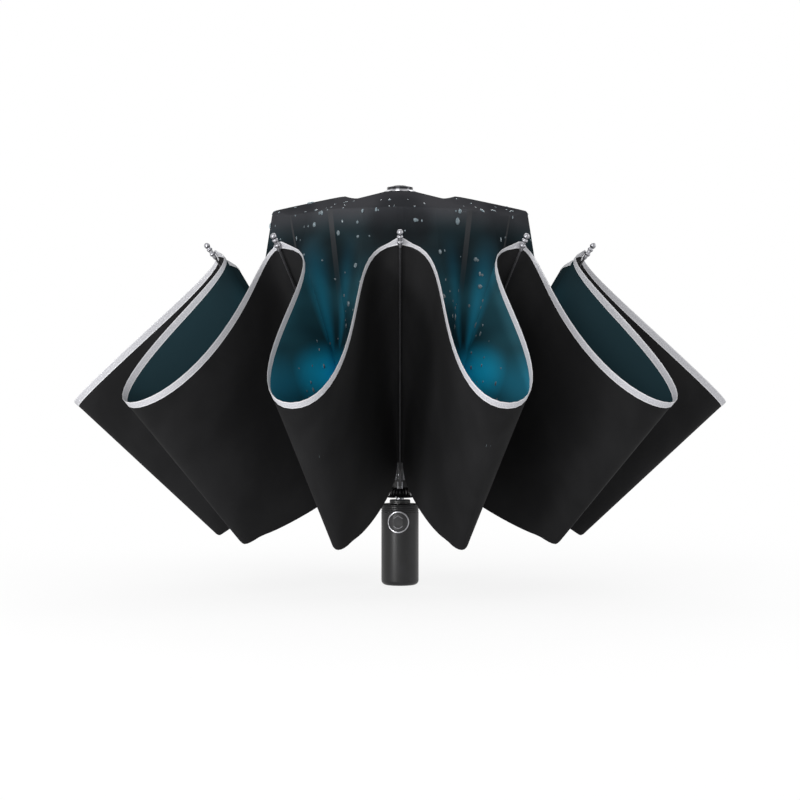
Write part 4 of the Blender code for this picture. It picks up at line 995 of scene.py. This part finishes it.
wet_cloth, add, shader = new_finish("teal_coated_pongee")
rib_map = add("UVMap", uv_map="rib_map")
lobe_map = add("UVMap", uv_map="lobe_map")
on_map = add("SeparateXYZ", {0: rib_map}, out=None)
on_lobe = add("SeparateXYZ", {0: lobe_map}, out=None)
aside, height = on_lobe.outputs["X"], on_lobe.outputs["Y"]
cloud = add("TexNoise", {"Vector": lobe_map, "Scale": 16.0, "Detail": 2.0, "Roughness": 0.5})
patch = add("MapRange", {"Value": cloud, "From Min": 0.35, "From Max": 0.65}, **EASED)
base = add("Mix", {0: patch, 6: TEAL_DARK, 7: TEAL}, **COLOURED)
for value, (start, end), dark, pale in ((aside, OUTWARD_CHANGE, OUTWARD_TEAL, OUTWARD_TEAL),
        (height, COAT_CHANGE, COAT_BLACK, COAT_GREY),
        (height, SLOPE_CHANGE, SLOPE_DARK, SLOPE_GREY)):
    share = add("MapRange", {"Value": value, "From Min": start, "From Max": end}, **EASED)
    layer = add("Mix", {0: patch, 6: dark, 7: pale}, **COLOURED)
    base = add("Mix", {0: share, 6: base, 7: layer}, **COLOURED)
# The blue fans are painted light: a glowing heart on each side and streaks that spread from it.
fades = []
for middle_aside, middle_height, reach in (HEART, FAN):
    out_from = add("Math", {0: aside, 1: middle_aside}, operation="SUBTRACT")
    up_from = add("Math", {0: height, 1: middle_height}, operation="SUBTRACT")
    away = add("CombineXYZ", {"X": out_from, "Y": up_from})
    far = add("VectorMath", {0: away}, out=1, operation="LENGTH")
    fades.append(add("MapRange", {"Value": far, "From Min": reach, "From Max": 0.0}, **EASED))
glow, fade = fades
bearing = add("Math", {0: out_from, 1: up_from}, operation="ARCTAN2")
for middle, spread, strength in FAN_STREAKS:
    off = add("Math", {0: bearing, 1: middle}, operation="SUBTRACT")
    off = add("Math", {0: off}, operation="ABSOLUTE")
    streak = add("MapRange", {"Value": off, "From Min": spread, "From Max": 0.0,
        "To Max": strength}, **EASED)
    streak = add("Math", {0: streak, 1: fade}, operation="MULTIPLY")
    glow = add("Math", {0: glow, 1: streak}, operation="MAXIMUM")
base = add("Mix", {0: glow, 6: base, 7: PAINTED_GLOW_BLUE}, **COLOURED)
# A grey band along each rib's seam, shown only over part of its length and away from the front rib,
# is partly a painted highlight on the ridge where the cloth lies over the middle rib.
off_seam = add("Math", {0: on_map.outputs["X"]}, operation="ABSOLUTE")
seam_sheen = add("MapRange", {"Value": off_seam, "From Min": SEAM_HALF_WIDTH + SEAM_EDGE,
    "From Max": SEAM_HALF_WIDTH}, **EASED)
for value, (start, end) in ((on_map.outputs["Y"], SEAM_END), (on_map.outputs["Y"], SEAM_START),
        (aside, SEAM_ASIDE)):
    limit = add("MapRange", {"Value": value, "From Min": start, "From Max": end}, **EASED)
    seam_sheen = add("Math", {0: seam_sheen, 1: limit}, operation="MULTIPLY")
base = add("Mix", {0: seam_sheen, 6: base, 7: SEAM_SHEEN_GREY}, **COLOURED)
rough = add("MapRange", {"Value": cloud, "To Min": 0.50, "To Max": 0.70})
fill(shader, {"Base Color": base, "Roughness": rough, "Normal": woven(add, rib_map),
    "Specular IOR Level": 0.0})

# Pongee, dry side: plain black with a very slight sheen and the same coarse-drawn weave.
BLACK_CLOTH = "#121213"
BLACK_CLOTH_LIT = "#1B1B1C"

dry_cloth, add, shader = new_finish("black_pongee")
rib_map = add("UVMap", uv_map="rib_map")
cloud = add("TexNoise", {"Vector": rib_map, "Scale": 14.0, "Detail": 3.0})
patch = add("MapRange", {"Value": cloud, "From Min": 0.3, "From Max": 0.7}, **EASED)
base = add("Mix", {0: patch, 6: BLACK_CLOTH, 7: BLACK_CLOTH_LIT}, **COLOURED)
fill(shader, {"Base Color": base, "Roughness": 0.85, "Normal": woven(add, rib_map),
    "Specular IOR Level": 0.12})

hem_back = unit(ring[-2] - ring[-1])
cut = np.copy(ring)
cut[-1] = ring[-1] + hem_back * HEM_INSET
wet_side = facings(ring)
down_length = lengths_along(ring.swapaxes(0, 1)).T
cloth_rows = {"upper": (0, fold_at + 1), "outer": (fold_at, row_count)}
for index in range(RIB_COUNT):
    for part, upper, lower, start, end in cloth_parts(index):
        first_row, last_row = cloth_rows[part]
        grids = [take(grid, at)[first_row:last_row] for at in (index, index + 1)
            for grid in (cut, wet_side)]
        points, wet = with_lip(*grids)
        maps = {"rib_map": cloth_map(index, first_row, last_row),
            "lobe_map": np.stack([np.abs(points[:, :, 0]), points[:, :, 2]], axis=2)}
        piece = sheet_piece(f"cloth_{part}_{index}", points, wet, CLOTH_HALF_THICKNESS, maps,
            (wet_cloth, dry_cloth))
        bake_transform(piece)
        if part == "upper":
            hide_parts("canopy")

# The rain
# Water that stands in beads on the coated side, larger and longer where it has run down.
# Each bead is a flattened dome, and those on one width of cloth are one piece.
DROPS_ON = {"upper": 48, "outer": 84}
DROP_RADIUS = (0.0008, 0.0023)
DROP_HEIGHT = 0.55
DROP_STRETCH = 0.8
DROP_CUT = 0.10
DROP_SEED = 11
DROP_ROWS = {"upper": (9, fold_at - 6), "outer": (outer_at + 8, row_count - 5)}

bpy.ops.object.select_all(action="DESELECT")
bpy.ops.mesh.primitive_uv_sphere_add(segments=10, ring_count=6, radius=1.0)
bead = bpy.context.object
bpy.ops.object.mode_set(mode="EDIT")
bpy.ops.mesh.select_all(action="SELECT")
bpy.ops.mesh.bisect(plane_co=(0.0, 0.0, -DROP_CUT), plane_no=(0.0, 0.0, 1.0), use_fill=True,
    clear_inner=True)
bpy.ops.mesh.select_all(action="SELECT")
bpy.ops.transform.resize(value=(1.0, 1.0, DROP_HEIGHT), center_override=(0.0, 0.0, 0.0))
bpy.ops.object.mode_set(mode="OBJECT")
bead_points = np.array([vertex.co for vertex in bead.data.vertices])
bead_faces = [tuple(face.vertices) for face in bead.data.polygons]
bpy.data.objects.remove(bead)

# Rain water: clear, with a bright rim and a sharp glint. Its pale grey-blue base, which lets only
# part of the light through, is painted glint, and that haze varies at random.
water, add, shader = new_finish("rain_water")
place = add("TexCoord", out=3)
glint_haze = add("TexNoise", {"Vector": place, "Scale": 400.0, "Detail": 2.0})
base = add("Mix", {0: glint_haze, 6: "#768B94", 7: "#B4C3CA"}, **COLOURED)
rough = add("MapRange", {"Value": glint_haze, "To Min": 0.02, "To Max": 0.10})
fill(shader, {"Base Color": base, "Roughness": rough, "IOR": 1.333, "Transmission Weight": 0.60})

rain = np.random.default_rng(DROP_SEED)
for index in range(RIB_COUNT):
    for part, upper, lower, start, end in cloth_parts(index):
        first_row, last_row = DROP_ROWS[part]
        points, wet = (take(grid, index)[first_row:last_row] for grid in (cut, wet_side))
        patch_area = np.linalg.norm(np.cross(points[1:, :-1] - points[:-1, :-1],
            points[:-1, 1:] - points[:-1, :-1]), axis=2)
        chances = (patch_area / patch_area.sum()).ravel()
        verts, faces = [], []
        for cell in rain.choice(len(chances), DROPS_ON[part], p=chances):
            row, column = divmod(int(cell), patch_area.shape[1])
            square = unit(wet[row, column])
            aside = np.cross(unit(points[row + 1, column] - points[row, column]), square)
            down = np.cross(square, aside)
            radius = DROP_RADIUS[0] + (DROP_RADIUS[1] - DROP_RADIUS[0]) * rain.random() ** 3
            longer = 1 + DROP_STRETCH * rain.random() ** 2
            at = points[row, column] + square * CLOTH_HALF_THICKNESS
            dome = bead_points * radius
            faces += [tuple(k + len(verts) for k in face) for face in bead_faces]
            verts += (at + dome[:, 0:1] * aside + dome[:, 1:2] * down * longer
                + dome[:, 2:3] * square).tolist()
        mesh = bpy.data.meshes.new(f"rain_{part}_{index}")
        mesh.from_pydata(verts, [], faces)
        mesh.shade_smooth()
        mesh.materials.append(water)
        piece = into_scene(mesh.name, mesh)
        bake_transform(piece)

# The edge tape
# Pale reflective tape, folded over the hem and sewn down. It is drawn narrower beside
# the tips, where it is gathered, rolls over and stands up in two small ears.
TAPE_PALE = "#B8B8BC"
TAPE_GREY = "#A3A3A8"
TAPE_EDGE_HIGHLIGHT = "#CACACD"
TAPE_GRAIN = 0.0010
TAPE_HIGHLIGHT_SHARE = (0.30, 0.42)
TAPE_EAR = 0.0034
TAPE_GATHER_SHARE = 0.45
TAPE_ROWS = (1.0, 0.8, 0.5, 0.2, 0.0)
TAPE_ROUNDING = (0.55, 1.0, 1.0, 1.0, 0.5)

tape_weave, add, shader = new_finish("silver_reflective_tape")
tape_map = add("UVMap", uv_map="tape_map")
place = add("Mapping", {"Vector": tape_map, "Scale": (TAPE_WIDTH, 1.0, 1.0)})
grain = add("TexNoise", {"Vector": place, "Scale": 1 / TAPE_GRAIN, "Detail": 2.0})
speckle = add("MapRange", {"Value": grain, "From Min": 0.38, "From Max": 0.64}, **EASED)
base = add("Mix", {0: speckle, 6: TAPE_GREY, 7: TAPE_PALE}, **COLOURED)
# The tape's two long edges are painted paler: a painted highlight where it rolls over the hem.
share = add("SeparateXYZ", {0: tape_map})
off_middle = add("Math", {0: share, 1: 0.5}, operation="SUBTRACT")
off_middle = add("Math", {0: off_middle}, operation="ABSOLUTE")
border = add("MapRange", {"Value": off_middle, "From Min": TAPE_HIGHLIGHT_SHARE[0],
    "From Max": TAPE_HIGHLIGHT_SHARE[1]}, **EASED)
base = add("Mix", {0: border, 6: base, 7: TAPE_EDGE_HIGHLIGHT}, **COLOURED)
bump = add("Bump", {"Height": grain, "Strength": 0.2, "Distance": 0.0002})
fill(shader, {"Base Color": base, "Roughness": 0.5, "Normal": bump})

beside_rib = np.tile(np.concatenate([across[::-1], across[:-1]]), RIB_COUNT)
widths = TAPE_TIP_WIDTH + (TAPE_WIDTH - TAPE_TIP_WIDTH) * ease(beside_rib / TAPE_GATHER_SHARE)
ear = (TAPE_EAR * (beside_rib == 0))[:, None]
band = np.stack([ring[-1] + hem_back * ((widths * share)[:, None] - ear * (1 - share))
    for share in TAPE_ROWS])
band_wet = wet_side[-2] * np.array(TAPE_ROUNDING)[:, None, None]
for index in range(RIB_COUNT):
    points = take(band, index)
    points, wet = with_lip(points, take(band_wet, index), take(band, index + 1),
        take(band_wet, index + 1))
    shares = np.linspace(0.0, 1.0, len(band))[:, None] * np.ones((1, points.shape[1]))
    along = lengths_along(points[-1:]) * np.ones_like(shares)
    piece = sheet_piece(f"edge_tape_{index}", points, wet, TAPE_HALF_THICKNESS,
        {"tape_map": np.stack([shares, along], axis=2)}, (tape_weave, tape_weave))
    start, end = elbow_blend(index)
    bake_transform(piece)
    if index == 0:
        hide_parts("edge_binding")

# The crown cap
# A chromed cap, pressed on the hub over the cloth: a wide thin flange, and a dished collar
# whose side is painted darker, as a painted reflection of the black cloth below it.
CAP_BORE = 0.0078
FLANGE_RADIUS = 0.0155
COLLAR_RADIUS = 0.0126
COLLAR_RISE = 0.0030
COLLAR_INSIDE = 0.0114
DISH_DROP = 0.0012
COLLAR_RIM = ((COLLAR_RADIUS, -0.0006), (COLLAR_RADIUS - 0.0002, -0.0002),
    (COLLAR_RADIUS - 0.0006, 0.0), (COLLAR_INSIDE + 0.0002, -0.0001), (COLLAR_INSIDE, -0.0004),
    (COLLAR_INSIDE, -DISH_DROP), (CAP_BORE, -DISH_DROP))
FLANGE_EDGE = 0.0006
FLARE_FOOT = 0.0009
REFLECTION_EDGE = (-0.0002, 0.0004)
CHROME_PALE = "#C9C9CC"
CHROME_GREY = "#A2A2A6"
CHROME_SHADE = "#303033"

lowest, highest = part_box("crown_cap")
low, top = lowest.z, highest.z
foot = top - COLLAR_RISE
flare = quarter(FLANGE_RADIUS, foot, COLLAR_RADIUS - FLANGE_RADIUS, low + FLARE_FOOT - foot)
cap = turned("crown_button",
    [(CAP_BORE, foot), (FLANGE_RADIUS, low), (FLANGE_RADIUS, low + FLANGE_EDGE), *flare,
    *((radius, top + drop) for radius, drop in COLLAR_RIM), (CAP_BORE, foot)], GRIP_SIDES)
soften(cap)
# Bright chrome plate, with faint polishing lines round it. The collar's side is painted darker, a
# painted reflection.
chrome = drawn_metal("polished_chrome", CHROME_PALE, CHROME_GREY, 0.14, BRUSH_PITCH,
    (0.1, 0.1, 1.0))
add, shader, plate = coloured_so_far(chrome)
height = add("SeparateXYZ", {0: add("TexCoord", out=3)}, out=2)
side = add("MapRange", {"Value": height, "From Min": foot + REFLECTION_EDGE[0],
    "From Max": foot + REFLECTION_EDGE[1]})
fill(shader, {"Base Color": add("Mix", {0: side, 6: plate, 7: CHROME_SHADE}, **COLOURED)})
cap.data.materials.append(chrome)
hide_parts("crown_cap")
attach(cap, "upper_shaft")
